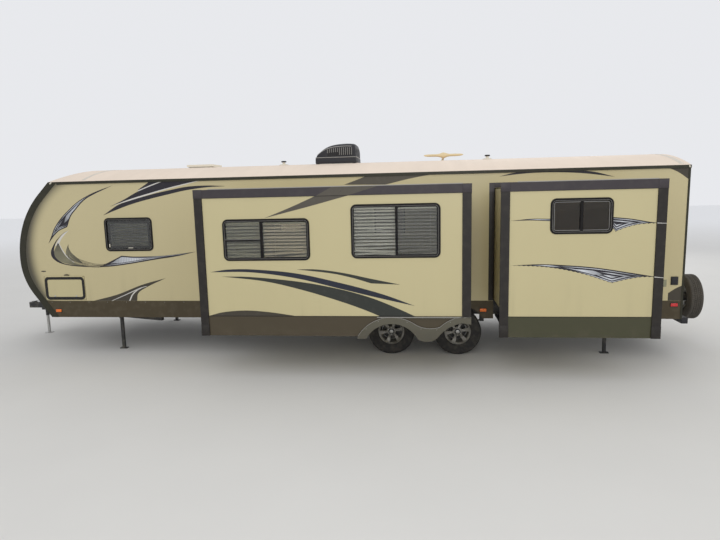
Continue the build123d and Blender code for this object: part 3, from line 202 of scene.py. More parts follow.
class Shop:
    """Node tree of one material, and the few ways in which nodes are added to it."""

    def __init__(self, name: str) -> None:
        """Start a material with a Principled shader.

        Args:
            name: The material's name.
        """
        self.material = bpy.data.materials.new(name)
        self.material.use_nodes = True
        self.tree = self.material.node_tree
        self.tree.nodes.clear()
        self.shader = self.tree.nodes.new("ShaderNodeBsdfPrincipled")
        output = self.tree.nodes.new("ShaderNodeOutputMaterial")
        self.tree.links.new(self.shader.outputs[0], output.inputs[0])

    def node(self, kind: str, settings: dict, inputs: dict, output: int | str = 0) -> Wire:
        """Add a node.

        Args:
            kind: The node's type, without the words that all shader nodes start with.
            settings: Values of the node itself, set before its sockets; "stops" holds a ramp's stops.
            inputs: Values or wires for its sockets, by name or number.
            output: Which output to return.

        Returns:
            A wire from that output.
        """
        node = self.tree.nodes.new("ShaderNode" + kind)
        for place, colour in settings.pop("stops", ()):
            elements = node.color_ramp.elements
            element = elements[0] if place == 0 else elements[-1] if place == 1 else elements.new(place)
            element.color = (*colour, 1.0)
        for key, value in settings.items():
            setattr(node, key, value)
        for key, value in inputs.items():
            self.feed(node.inputs[key], value)
        return Wire(self, node.outputs[output])

    def feed(self, socket: bpy.types.NodeSocket, value: Wire | float | tuple) -> None:
        """Set a socket or link a wire to it; a colour gets its fourth value.

        Args:
            socket: Socket of a node.
            value: What it gets.
        """
        if isinstance(value, Wire):
            self.tree.links.new(value.socket, socket)
        elif isinstance(value, tuple) and len(socket.default_value) == 4:
            socket.default_value = (*value, 1.0)
        else:
            socket.default_value = value

    def place(self) -> Wire:
        """Object coordinates."""
        return self.node("TexCoord", {}, {}, "Object")

    def axis(self, index: int) -> Wire:
        """One object coordinate, measured in the caravan's own coordinates."""
        return self.node("SeparateXYZ", {}, {0: self.place()}, index) - float(ORIGIN[index])

    def chart(self, index: int) -> Wire:
        """One coordinate of the piece's UV map: 0 along it, 1 across it."""
        return self.node("SeparateXYZ", {}, {0: self.node("UVMap", {}, {})}, index)

    def distance(self, first: Wire, second: Wire) -> Wire:
        """Length of the diagonal over two distances."""
        return (first ** 2 + second ** 2) ** 0.5

    def noise(self, scale: float, detail: float = 3.0, stretch: tuple = (1.0, 1.0, 1.0)) -> Wire:
        """Noise between 0 and 1 on object coordinates, stretched by a factor on each axis."""
        spread = self.node("Mapping", {}, {0: self.place(), "Scale": stretch})
        return self.node("TexNoise", {}, {"Vector": spread, "Scale": scale, "Detail": detail})

    def mix(self, share: Wire | float, first: Wire | tuple, second: Wire | tuple) -> Wire:
        """Colour between two others."""
        return self.node("Mix", {"data_type": "RGBA"}, {0: share, 6: first, 7: second}, 2)

    def shaded(self, colour: tuple, change: Wire, depth: float) -> Wire:
        """Colour made darker and lighter by a value around one half."""
        return self.mix(change, tint(colour, 1 - depth), tint(colour, 1 + depth))

    def bump(self, height: Wire, distance: float, strength: float = 1.0) -> None:
        """Raise the surface by a height map."""
        normal = self.node("Bump", {}, {"Height": height, "Distance": distance, "Strength": strength})
        self.feed(self.shader.inputs["Normal"], normal)


@dataclass(frozen=True)
class Finish:
    """A finish by name and colour; each kind says what its shader's sockets get."""

    name: str
    colour: tuple = (0.5, 0.5, 0.5)

    def sockets(self, shop: Shop) -> dict:
        """Values and wires for the shader's sockets, by name with low lines for spaces."""
        raise NotImplementedError

    def material(self) -> bpy.types.Material:
        """The finish's material, made once.

        Returns:
            The material.
        """
        if self.name not in bpy.data.materials:
            shop = Shop(self.name)
            for key, value in self.sockets(shop).items():
                shop.feed(shop.shader.inputs[key.replace("_", " ")], value)
        return bpy.data.materials[self.name]


@dataclass(frozen=True)
class GelCoat(Finish):
    """Smooth laminated wall panel, with a dark airbrushed fade behind the front edge on the side walls."""

    fade: tuple = (0.030, 0.027, 0.018)
    fade_centre: tuple = (-4.936, 1.598)
    fade_radius: float = 1.41
    fade_width: float = 0.27
    grime: float = 0.22

    def sockets(self, shop: Shop) -> dict:
        """Clouded paint, grime low down, and the fade by the distance from its centre.

        Args:
            shop: Node tree of the material.

        Returns:
            What each socket gets.
        """
        cloud = shop.noise(0.55, 2.0) * 0.6 + shop.noise(2.2, 4.0, (1.0, 1.0, 0.15)) * 0.4
        paint = shop.shaded(self.colour, cloud, 0.07)
        grime = shop.noise(6.0, 5.0, (1.0, 1.0, 0.06)).ramp(0.5, 0.8) * shop.axis(2).ramp(1.5, 0.8)
        paint = shop.mix(grime * self.grime, paint, tint(self.colour, 0.55))
        radius = shop.distance(shop.axis(0) - self.fade_centre[0], shop.axis(2) - self.fade_centre[1])
        front = shop.axis(0).ramp(-4.9, -5.2)
        fade = radius.ramp(self.fade_radius - self.fade_width, self.fade_radius) * front
        paint = shop.mix(fade * fade * 0.93, paint, self.fade)
        shop.bump(shop.noise(1.3, 2.0), 0.004, 0.35)
        return {"Base_Color": paint, "Roughness": shop.noise(9.0, 3.0) * 0.12 + 0.26, "Coat_Weight": 0.25,
                "Coat_Roughness": 0.12}


@dataclass(frozen=True)
class Membrane(Finish):
    """Chalky rubber roof sheet with faint run-off streaks towards both sides."""

    def sockets(self, shop: Shop) -> dict:
        """Streaked colour and a fine grain.

        Args:
            shop: Node tree of the material.

        Returns:
            What each socket gets.
        """
        streak = shop.noise(3.0, 5.0, (2.5, 0.25, 1.0)) * 0.6 + shop.noise(0.9, 3.0) * 0.4
        shop.bump(shop.noise(160.0, 2.0), 0.0006, 0.5)
        return {"Base_Color": shop.shaded(self.colour, streak, 0.10), "Roughness": 0.72}


@dataclass(frozen=True)
class Satin(Finish):
    """Painted or coated sheet and section with faint dust; the top rails of the rooms may get a paler top, a painted
    sheen.
    """

    roughness: float = 0.38
    metallic: float = 0.0
    depth: float = 0.12
    dust: float = 0.12
    gloss: float = 0.5
    painted_sheen: tuple = ()
    painted_sheen_from: tuple = (2.434, 2.448)

    def sockets(self, shop: Shop) -> dict:
        """Clouded paint, paler high up as a painted sheen, under patches of dust.

        Args:
            shop: Node tree of the material.

        Returns:
            What each socket gets.
        """
        cloud = shop.noise(3.0, 4.0)
        paint = shop.shaded(self.colour, cloud, self.depth)
        # painted sheen: the top of the trim is made paler, as where light falls on it
        if self.painted_sheen:
            pale = shop.shaded(self.painted_sheen, cloud, self.depth)
            paint = shop.mix(shop.axis(2).ramp(*self.painted_sheen_from), paint, pale)
        dust = shop.noise(11.0, 5.0).ramp(0.42, 0.78)
        paint = shop.mix(dust * self.dust, paint, (0.30, 0.27, 0.20))
        shop.bump(shop.noise(240.0, 2.0), 0.0003, 0.35)
        return {"Base_Color": paint, "Roughness": shop.noise(30.0, 3.0) * 0.14 + (self.roughness - 0.05),
                "Metallic": self.metallic, "Specular_IOR_Level": self.gloss}


@dataclass(frozen=True)
class Moulded(Finish):
    """Moulded plastic or rubber with a fine stipple and sun-faded patches."""

    roughness: float = 0.5
    stipple: float = 0.0006
    bleach: float = 0.15

    def sockets(self, shop: Shop) -> dict:
        """Clouded colour with paler patches.

        Args:
            shop: Node tree of the material.

        Returns:
            What each socket gets.
        """
        paint = shop.shaded(self.colour, shop.noise(5.0, 3.0), 0.08)
        patches = shop.noise(1.7, 5.0).ramp(0.45, 0.8)
        paint = shop.mix(patches * self.bleach, paint, tint(self.colour, 1.4, 0.10))
        shop.bump(shop.noise(420.0, 2.0), self.stipple, 0.5)
        return {"Base_Color": paint, "Roughness": shop.noise(14.0) * 0.15 + (self.roughness - 0.07)}


@dataclass(frozen=True)
class Tyre(Finish):
    """Tyre rubber, dusty on its tread blocks and sidewalls, with painted shade in its grooves, told by the radius
    from its axle, which lies as far before and behind the middle as centre says, or through the middle for the
    spare."""

    centre: tuple = (0.0, 0.0)
    side: int = 0
    radius: float = 0.35
    dust: tuple = (0.105, 0.092, 0.072)
    shadow: tuple = (0.004, 0.004, 0.004)

    def below(self, radius: Wire, first: float, last: float) -> Wire:
        """Smooth step between two depths below the tread."""
        return radius.ramp(self.radius - first, self.radius - last)

    def sockets(self, shop: Shop) -> dict:
        """Rubber under dust, worn pale on the blocks, with painted shade down in the grooves.

        Args:
            shop: Node tree of the material.

        Returns:
            What each socket gets.
        """
        radius = shop.distance(shop.axis(self.side).joined("ABSOLUTE") - self.centre[0],
                               shop.axis(2) - self.centre[1])
        # groove mask: painted shade in the grooves, mixed towards the shadow colour below
        groove = self.below(radius, 0.0042, 0.0060) * self.below(radius, 0.0130, 0.0100)
        rubber = shop.shaded(self.colour, shop.noise(9.0, 4.0), 0.25)
        dust = shop.noise(17.0, 6.0).ramp(0.35, 0.75) * 0.4
        worn = self.below(radius, 0.0040, 0.0015) * 0.5
        rubber = shop.mix(dust + worn * (1 - dust), rubber, self.dust)
        rubber = shop.mix(groove * 0.9, rubber, self.shadow)
        shop.bump(shop.noise(330.0, 3.0), 0.0005, 0.6)
        return {"Base_Color": rubber, "Roughness": 0.82}


@dataclass(frozen=True)
class Alloy(Finish):
    """Cast wheel alloy under clear coat, with brake dust in its recesses."""

    roughness: float = 0.33
    dust: tuple = (0.085, 0.075, 0.058)

    def sockets(self, shop: Shop) -> dict:
        """Clouded metal under patches of dust.

        Args:
            shop: Node tree of the material.

        Returns:
            What each socket gets.
        """
        metal = shop.shaded(self.colour, shop.noise(22.0, 4.0), 0.10)
        metal = shop.mix(shop.noise(12.0, 5.0).ramp(0.42, 0.75) * 0.5, metal, self.dust)
        shop.bump(shop.noise(500.0, 2.0), 0.0002, 0.4)
        return {"Base_Color": metal, "Metallic": 0.6, "Roughness": shop.noise(40.0) * 0.15 + self.roughness}


@dataclass(frozen=True)
class Zinc(Finish):
    """Zinc-plated steel with a faint spangle and dull runs."""

    dull: tuple = (0.17, 0.13, 0.09)

    def sockets(self, shop: Shop) -> dict:
        """Crystals of a cell pattern, and runs.

        Args:
            shop: Node tree of the material.

        Returns:
            What each socket gets.
        """
        crystal = shop.node("TexVoronoi", {}, {"Vector": shop.place(), "Scale": 90.0}, 1)
        grey = shop.node("RGBToBW", {}, {0: crystal})
        metal = shop.shaded(self.colour, grey, 0.12)
        metal = shop.mix(shop.noise(7.0, 5.0).ramp(0.5, 0.8) * 0.35, metal, self.dull)
        return {"Base_Color": metal, "Metallic": 0.9, "Roughness": grey * 0.12 + 0.38}


@dataclass(frozen=True)
class Pane(Finish):
    """Tinted safety glass."""

    def sockets(self, shop: Shop) -> dict:
        """Glass with a little haze.

        Args:
            shop: Node tree of the material.

        Returns:
            What each socket gets.
        """
        return {"Base_Color": self.colour, "Roughness": shop.noise(4.0, 4.0) * 0.04 + 0.005,
                "Transmission_Weight": 0.96, "IOR": 1.45, "Specular_IOR_Level": 0.18}


@dataclass(frozen=True)
class Lens(Finish):
    """Coloured lamp lens with moulded prisms inside."""

    def sockets(self, shop: Shop) -> dict:
        """Chequered prisms and a faint glow of its own.

        Args:
            shop: Node tree of the material.

        Returns:
            What each socket gets.
        """
        prism = shop.node("TexChecker", {}, {"Vector": shop.place(), "Scale": 260.0}, 1)
        shop.bump(prism, 0.0008, 0.5)
        return {"Base_Color": shop.shaded(self.colour, prism, 0.22), "Roughness": 0.16, "Coat_Weight": 0.6,
                "Emission_Color": tint(self.colour, 0.5), "Emission_Strength": 0.12}


@dataclass(frozen=True)
class Film(Finish):
    """Printed vinyl film: one colour, slightly weathered, glossier than the wall."""

    depth: float = 0.18
    chalk: tuple = (0.35, 0.33, 0.30)

    def sockets(self, shop: Shop) -> dict:
        """Clouded print under a little chalk.

        Args:
            shop: Node tree of the material.

        Returns:
            What each socket gets.
        """
        print_tone = shop.shaded(self.colour, shop.noise(1.2, 5.0), self.depth)
        print_tone = shop.mix(shop.noise(15.0, 5.0).ramp(0.5, 0.85) * 0.04, print_tone, self.chalk)
        return {"Base_Color": print_tone, "Roughness": 0.42, "Coat_Weight": 0.06, "Coat_Roughness": 0.2,
                "Specular_IOR_Level": 0.35}


@dataclass(frozen=True)
class FlashFilm(Finish):
    """Metallic print that fades along the stripe and carries fine slanted strokes, both read from its UV map."""

    ink: tuple = (0.022, 0.022, 0.030)
    strokes: float = 34.0
    weight: float = 0.45

    def sockets(self, shop: Shop) -> dict:
        """Ramp of dim and bright along the stripe, crossed by saw-tooth strokes where a sine wave is high.

        Args:
            shop: Node tree of the material.

        Returns:
            What each socket gets.
        """
        along = shop.chart(0)
        waver = shop.node("TexNoise", {"noise_dimensions": "1D"}, {"W": along * 7.0, "Scale": 1.0, "Detail": 2.0})
        dim, bright = tint(self.colour, 0.42), tint(self.colour, 1.25)
        stops = ((0.0, dim), (1.0, dim), (0.24, self.colour), (0.44, bright), (0.60, self.colour))
        print_tone = shop.node("ValToRGB", {"stops": stops}, {0: along + waver * 0.2 - 0.1})
        stroke = ((along * self.strokes + shop.chart(1) * 0.7).joined("FRACT") - 0.5).joined("ABSOLUTE")
        faint = ((shop.axis(0) + shop.axis(2)) * 1.7).joined("SINE").ramp(-0.6, 0.9)
        tone = shop.mix(stroke.ramp(0.30, 0.42) * faint * self.weight, print_tone, self.ink)
        return {"Base_Color": tone, "Roughness": 0.3, "Metallic": 0.15, "Coat_Weight": 0.2,
                "Coat_Roughness": 0.15}


@dataclass(frozen=True)
class Skirting(Finish):
    """Skirt board of a slide-out room: one colour low down, another where the fender stands proud of it."""

    fender: tuple = (0.12, 0.11, 0.085)
    split: float = 0.0
    mud: tuple = (0.115, 0.095, 0.060)

    def sockets(self, shop: Shop) -> dict:
        """Two paints parted by their place across; the fender's paint darkens towards its foot as painted shade, and
        mud lies low down.

        Args:
            shop: Node tree of the material.

        Returns:
            What each socket gets.
        """
        proud = shop.axis(1).ramp(self.split + 0.001, self.split - 0.001)
        # painted shade: the fender's paint darkens towards its foot, as if only its upper flare caught the light
        shaded_fender = shop.mix(shop.axis(2).ramp(0.80, 0.56) * 0.45, self.fender, tint(self.fender, 0.55))
        paint = shop.mix(proud, self.colour, shaded_fender)
        mud = shop.noise(7.0, 6.0).ramp(0.40, 0.80) * shop.axis(2).ramp(0.80, 0.56) * 0.35
        cloud = shop.noise(2.5, 4.0)
        paint = shop.mix(cloud * 0.25, shop.mix(mud, paint, self.mud), tint(self.colour, 0.6))
        shop.bump(shop.noise(260.0, 2.0), 0.0004, 0.4)
        return {"Base_Color": paint, "Roughness": cloud * 0.15 + 0.36}


@dataclass(frozen=True)
class Weave(Finish):
    """Woven or coated cloth on object coordinates, a thread each few millimetres."""

    pitch: float = 0.004

    def sockets(self, shop: Shop) -> dict:
        """Product of two sine waves, warp and weft.

        Args:
            shop: Node tree of the material.

        Returns:
            What each socket gets.
        """
        turn = WHOLE_TURN / self.pitch
        warp = (shop.axis(0) * turn).joined("SINE")
        weft = ((shop.axis(2) + shop.axis(1)) * turn).joined("SINE")
        thread = warp * weft * 0.5 + 0.5
        shop.bump(thread, 0.0005, 0.5)
        cloth = shop.shaded(self.colour, thread * 0.5 + shop.noise(2.0, 4.0) * 0.5, 0.25)
        return {"Base_Color": cloth, "Roughness": 0.7}


@dataclass(frozen=True)
class Ground(Finish):
    """Pale floor that turns paler far away."""

    far: tuple = (0.88, 0.885, 0.89)

    def sockets(self, shop: Shop) -> dict:
        """Faintly clouded colour, mixed by the distance from the caravan's middle.

        Args:
            shop: Node tree of the material.

        Returns:
            What each socket gets.
        """
        tone = shop.shaded(self.colour, shop.noise(0.8, 3.0), 0.03)
        away = shop.distance(shop.axis(0), shop.axis(1))
        return {"Base_Color": shop.mix(away.ramp(9.0, 38.0), tone, self.far), "Roughness": 0.9}


class Shade(Enum):
    """The caravan's finishes, each used by name."""

    WALL = GelCoat("wall_gel_coat", (0.525, 0.455, 0.258))
    PLAIN_WALL = GelCoat("room_gel_coat", (0.530, 0.465, 0.258), fade_width=0.001)
    ROOF = Membrane("roof_membrane", (0.79, 0.67, 0.55))
    # the trim's paler top colour is a painted sheen where light falls on it
    TRIM = Satin("charcoal_trim", (0.018, 0.015, 0.013), 0.42, dust=0.04, gloss=0.34,
                 painted_sheen=(0.044, 0.037, 0.041))
    BAND = Satin("front_band", (0.022, 0.021, 0.010), 0.38, dust=0.03, gloss=0.36)
    # GREY also colours painted highlight lines on the windows and along the fender's upper edge
    GREY = Satin("grey_trim", (0.29, 0.28, 0.26), 0.4)
    KHAKI = Satin("khaki_panel", (0.27, 0.265, 0.17), 0.5, dust=0.05)
    SKIRT = Satin("skirt_paint", (0.060, 0.045, 0.022), 0.44, dust=0.08, gloss=0.36)
    STEEL = Satin("chassis_paint", (0.018, 0.018, 0.019), 0.45, dust=0.3)
    FRAME = Satin("window_frame_paint", (0.007, 0.006, 0.006), 0.45, dust=0.02, gloss=0.18)
    RUBBER = Moulded("seal_rubber", (0.010, 0.009, 0.009), 0.72, bleach=0.05)
    BLACK = Moulded("black_plastic", (0.026, 0.024, 0.028), 0.46)
    CREAM = Moulded("cream_plastic", (0.72, 0.66, 0.52), 0.45)
    AGED = Moulded("aged_plastic", (0.70, 0.56, 0.33), 0.5)
    WHITE = Moulded("white_plastic", (0.78, 0.77, 0.74), 0.4)
    TYRE = Tyre("tyre_rubber", (0.020, 0.019, 0.019), AXLE)
    SPARE_TYRE = Tyre("spare_rubber", (0.020, 0.019, 0.019), SPARE, 1)
    # the alloy's colour is partly painted shade: darker than the bare metal, as the wheels sit in shadow
    ALLOY = Alloy("wheel_alloy", (0.26, 0.25, 0.225))
    ZINC = Zinc("zinc_plate", (0.50, 0.50, 0.48))
    PANE = Pane("tinted_pane", (0.80, 0.81, 0.77))
    DARK_PANE = Pane("dark_pane", (0.30, 0.24, 0.16))
    AMBER = Lens("amber_lens", (0.80, 0.17, 0.015))
    RED = Lens("red_lens", (0.60, 0.018, 0.018))
    INK = Film("ink_film", (0.017, 0.015, 0.022))
    NAVY = Film("navy_film", (0.015, 0.018, 0.032))
    SLATE = Film("slate_film", (0.028, 0.031, 0.026))
    UMBER = Film("umber_film", (0.052, 0.044, 0.031))
    BROWN = Film("brown_film", (0.082, 0.072, 0.056))
    PALE = Film("pale_film", (0.62, 0.60, 0.56), depth=0.05)
    FLASH = FlashFilm("silver_flash", (0.52, 0.54, 0.57))
    SMOKE = FlashFilm("smoke_flash", (0.170, 0.158, 0.100), (0.034, 0.031, 0.022), 46.0, 0.85)
    CLOTH = Weave("awning_cloth", (0.085, 0.062, 0.045))
    FENDER = Satin("fender_paint", (0.104, 0.097, 0.068), 0.44, dust=0.1, gloss=0.4)
    SEALANT = Moulded("roof_sealant", (0.62, 0.57, 0.49), 0.7)
    DECK = Weave("underbelly_sheet", (0.022, 0.022, 0.024), 0.006)
    SLAT = Moulded("blind_slat", (0.86, 0.83, 0.74), 0.42, 0.0001)
    WARM_SLAT = Moulded("warm_slat", (0.78, 0.66, 0.46), 0.45, 0.0001)
    # darker copy of the slat colour: painted shade inside the window
    DIM_SLAT = Moulded("dim_slat", (0.43, 0.40, 0.27), 0.5, 0.0001)
    SCREENED_SLAT = Moulded("screened_slat", (0.27, 0.245, 0.20), 0.55, 0.0001)
    # darker copy of the slat colour: painted shade inside the window
    SHADE = Moulded("shade_slat", (0.078, 0.074, 0.038), 0.5, 0.0001)
    GAS = Moulded("cylinder_paint", (0.74, 0.74, 0.71), 0.35)
    BRASS = Satin("brass", (0.55, 0.38, 0.14), 0.3, metallic=0.9)
    FLOOR = Ground("floor_grey", (0.66, 0.65, 0.62))


def line(*millimetres: float) -> np.ndarray:
    """Points of x and z, given one after another in millimetres."""
    return np.array(millimetres).reshape(-1, 2) / 1000


def bands(*numbers: float) -> np.ndarray:
    """Rows of four numbers: two distances given in millimetres and two shares given in hundredths."""
    return np.array(numbers).reshape(-1, 4) / (1000, 1000, 100, 100)


def oval(count: int, wide: float, tall: float | None = None) -> np.ndarray:
    """Ellipse: half its width times the cosine, half its height times the sine; a circle where none is given."""
    turn = np.linspace(0, WHOLE_TURN, count, endpoint=False)
    return np.stack([wide * np.cos(turn), (wide if tall is None else tall) * np.sin(turn)], axis=-1)


def squared(wave: np.ndarray, power: float) -> np.ndarray:
    """Power of a wave's size with its sign kept: below 1 it makes a circle squarer."""
    return np.sign(wave) * np.abs(wave) ** power


def reach_along(points: np.ndarray) -> np.ndarray:
    """Length of the way along a row of points, up to each of them."""
    return np.concatenate([[0.0], np.cumsum(np.linalg.norm(np.diff(points, axis=0), axis=1))])


def curve(points: tuple, count: int) -> np.ndarray:
    """Curve through points: between two of them a cubic whose slope at each is that of the line from the point
    before to the point after it, measured along the path. A point given twice makes a corner.

    Args:
        points: Points to pass through, in order.
        count: Points along the curve.

    Returns:
        An array of points, evenly spaced along the path.
    """
    knots = np.array(points, float)
    number = np.arange(len(knots))
    length = reach_along(knots)
    ahead, behind = np.minimum(number + 1, number[-1]), np.maximum(number - 1, 0)
    slope = (knots[ahead] - knots[behind]) / (length[ahead] - length[behind])[:, None]
    reach = np.linspace(0.0, length[-1], count)
    k = np.clip(np.searchsorted(length, reach, side="right") - 1, 0, number[-1] - 1)
    step = np.maximum(length[k + 1] - length[k], 1e-9)[:, None]
    t = (reach[:, None] - length[k][:, None]) / step
    return ((2 * t ** 3 - 3 * t ** 2 + 1) * knots[k] + (t ** 3 - 2 * t ** 2 + t) * step * slope[k]
            + (3 * t ** 2 - 2 * t ** 3) * knots[k + 1] + (t ** 3 - t ** 2) * step * slope[k + 1])


def drawn(points: list[tuple], count: int) -> np.ndarray:
    """Curve drawn towards its control points: their sum, the k-th of n + 1 weighted by the number of ways to take k
    from n, times t to the power k, times 1 - t to the power n - k.

    Args:
        points: Control points, in order.
        count: Points along the curve.

    Returns:
        An array of points on the curve.
    """
    degree = len(points) - 1
    t = np.linspace(0.0, 1.0, count)[:, None]
    weights = [math.comb(degree, k) * t ** k * (1 - t) ** (degree - k) for k in range(degree + 1)]
    return sum(weight * np.array(point) for weight, point in zip(weights, points))


def rounded_loop(x0: float, x1: float, z0: float, z1: float, radius: float, steps: int = 6) -> np.ndarray:
    """Rounded rectangle: at each corner, a quarter circle about the corner's centre.

    Args:
        x0, x1, z0, z1: Sides of the rectangle.
        radius: Radius of its corners.
        steps: Pieces of each quarter circle.

    Returns:
        A closed loop of points, two values each.
    """
    quarter = math.pi / 2
    turn = (np.linspace(0, quarter, steps + 1) + np.arange(4)[:, None] * quarter)[..., None]
    right, left, top, foot = x1 - radius, x0 + radius, z1 - radius, z0 + radius
    centres = np.array([(right, top), (left, top), (left, foot), (right, foot)])[:, None]
    return (centres + radius * np.concatenate([np.cos(turn), np.sin(turn)], axis=-1)).reshape(-1, 2)


def placed(name: str, data: bpy.types.ID) -> bpy.types.Object:
    """New object at the origin, linked to the scene.

    Args:
        name: Its name.
        data: Its mesh, lamp or camera.

    Returns:
        The object.
    """
    made = bpy.data.objects.new(name, data)
    bpy.context.scene.collection.objects.link(made)
    return made


def hang(piece: bpy.types.Object, body: str, replaces: tuple = ()) -> None:
    """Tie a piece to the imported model.

    Args:
        piece: The piece.
        body: Body that it moves with.
        replaces: Nodes that it stands for.
    """
    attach(piece, body)
    if replaces:
        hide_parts(*replaces)
    LOG.info("%s: %d faces on %s", piece.name, len(piece.data.polygons), body)


class Form:
    """Surfaces of one piece, gathered as arrays in the caravan's own coordinates."""

    def __init__(self) -> None:
        """Start with nothing."""
        self.points, self.quads, self.marks, self.maps = [], [], [], []
        self.total = 0

    def grid(self, points: np.ndarray, around: bool = False, closed: bool = False, mark: int = 0) -> None:
        """Add a surface given on a grid of two parameters.

        Args:
            points: Array of rows, columns and three coordinates.
            around: Whether the last column meets the first.
            closed: Whether the last row meets the first.
            mark: Which of the piece's finishes it has.
        """
        rows, cols = points.shape[:2]
        i, j = np.meshgrid(np.arange(rows - (not closed)), np.arange(cols - (not around)), indexing="ij")
        i2, j2 = (i + 1) % rows, (j + 1) % cols
        quads = np.stack([i * cols + j, i2 * cols + j, i2 * cols + j2, i * cols + j2], axis=-1).reshape(-1, 4)
        shares = np.meshgrid(np.linspace(0, 1, rows), np.linspace(0, 1, cols), indexing="ij")
        self.points.append(points.reshape(-1, 3))
        self.maps.append(np.stack(shares, axis=-1).reshape(-1, 2))
        self.quads.append(quads + self.total)
        self.marks.append(np.full(len(quads), mark, np.int32))
        self.total += rows * cols

    def add(self, other: "Form", turn: np.ndarray, centre: np.ndarray) -> None:
        """Add another form's surfaces, turned and then moved.

        Args:
            other: The other form.
            turn: Rotation matrix.
            centre: Where its origin comes to lie.
        """
        self.points += [points @ turn.T + centre for points in other.points]
        self.quads += [quads + self.total for quads in other.quads]
        self.marks += other.marks
        self.maps += other.maps
        self.total += other.total

    def shell(self, rings: np.ndarray, mark: int = 0) -> None:
        """Add a tube of closed rings whose two ends are closed by their middles."""
        first, last = (np.broadcast_to(ring.mean(axis=0), (1, *ring.shape)) for ring in (rings[0], rings[-1]))
        self.grid(np.concatenate([first, rings, last]), around=True, mark=mark)

    def block(self, low: tuple, high: tuple, radius: float = 0.003, mark: int = 0) -> None:
        """Add a box with rounded edges: each point is its octant's inner corner plus a sphere's normal.

        Args:
            low, high: Two opposite corners of the box.
            radius: Radius of its edges.
            mark: Which of the piece's finishes it has.
        """
        low, high = np.minimum(low, high), np.maximum(low, high)
        radius = min(radius, float((high - low).min()) * 0.499)
        inner = (high - low) / 2 - radius
        quarter = np.linspace(0, math.pi / 2, 3)
        around = np.concatenate([quarter + k * math.pi / 2 for k in range(4)])
        rise = np.concatenate([quarter - math.pi / 2, quarter])
        side_x, side_y, side_z = (np.repeat(signs, 3) for signs in ((1, -1, -1, 1), (1, 1, -1, -1), (-1, 1)))
        level = radius * np.cos(rise)[:, None]
        rings = np.stack(np.broadcast_arrays(
            side_x * inner[0] + level * np.cos(around), side_y * inner[1] + level * np.sin(around),
            (side_z * inner[2] + radius * np.sin(rise))[:, None]), axis=-1)
        self.shell(rings + (low + high) / 2, mark)

    def lathe(self, profile: np.ndarray, centre: tuple, axis: int, steps: int = 48, mark: int = 0,
              closed: bool = False) -> None:
        """Add a turned surface: a profile of radius and place along an axis, carried round that axis.

        Args:
            profile: Points of radius and place along the axis.
            centre: Point that the places are measured from.
            axis: 0, 1 or 2.
            steps: Pieces of the turn.
            mark: Which of the piece's finishes it has.
            closed: Whether the profile's last point meets its first; else its ends are closed on the axis.
        """
        profile = np.array(profile, float)
        if not closed:
            profile = np.concatenate([[[0.0, profile[0, 1]]], profile, [[0.0, profile[-1, 1]]]])
        points = np.zeros((len(profile), steps, 3))
        points[..., [k for k in range(3) if k != axis]] = profile[:, None, :1] * oval(steps, 1.0)
        points[..., axis] = profile[:, 1:]
        self.grid(points + np.array(centre, float), around=True, closed=closed, mark=mark)

    def screw(self, place: tuple, out: float, radius: float = 0.006, mark: int = 0) -> None:
        """Add a domed screw head on an upright wall that faces out."""
        profile = [(radius, -0.0005 * out), (radius, 0.0006 * out), (radius * 0.6, 0.0018 * out)]
        self.lathe(profile, place, 1, 8, mark)

    def sweep(self, path: np.ndarray, section: np.ndarray, up: tuple, looped: bool = False, mark: int = 0) -> None:
        """Add a flat section carried along a path: path, plus its side times the section's first value, plus
        the up direction times its second.

        Args:
            path: Points of the path, which lies in a plane square to up.
            section: Closed loop of two values each.
            up: Direction square to the path.
            looped: Whether the path closes on itself.
            mark: Which of the piece's finishes it has.
        """
        path, up = np.array(path, float), np.array(up, float)
        run = np.roll(path, -1, axis=0) - np.roll(path, 1, axis=0) if looped else np.gradient(path, axis=0)
        run /= np.linalg.norm(run, axis=1, keepdims=True)
        rings = path[:, None] + np.cross(run, up)[:, None] * section[None, :, :1] + up * section[None, :, 1:]
        if looped:
            self.grid(rings, around=True, closed=True, mark=mark)
        else:
            self.shell(rings, mark)

    def tube(self, path: np.ndarray, radius: float, up: tuple, sides: int = 10) -> None:
        """Add a circle carried along a flat path."""
        self.sweep(path, oval(sides, radius), up)

    def hoop(self, loop: np.ndarray, y: float, section: np.ndarray, mark: int = 0) -> None:
        """Carry a section round a closed loop of x and z that lies at one place across."""
        self.sweep(np.insert(loop, 1, y, axis=-1), section, UP_Y, True, mark)

    def film(self, edge_a: np.ndarray, edge_b: np.ndarray, y: float, out: float, lift: float,
             mark: int = 0) -> None:
        """Add a thin film on an upright wall: straight lines from one edge curve to the other.

        Args:
            edge_a, edge_b: Points of x and z, as many along each edge.
            y: Place of the wall's surface.
            out: -1 where the wall faces the road side, 1 where it faces the door side.
            lift: Thickness of the film.
            mark: Which of the piece's finishes it has.
        """
        share = np.linspace(0, 1, 7)[None, :, None]
        flat = edge_a[:, None] * (1 - share) + edge_b[:, None] * share
        top, foot = np.insert(flat, 1, y + out * lift, axis=-1), np.insert(flat, 1, y - out * 0.0002, axis=-1)
        rims = [np.stack([top[rim], foot[rim]], 1) for rim in (np.s_[:, 0], np.s_[:, -1], np.s_[0], np.s_[-1])]
        for surface in (top, foot, *rims):
            self.grid(surface, mark=mark)

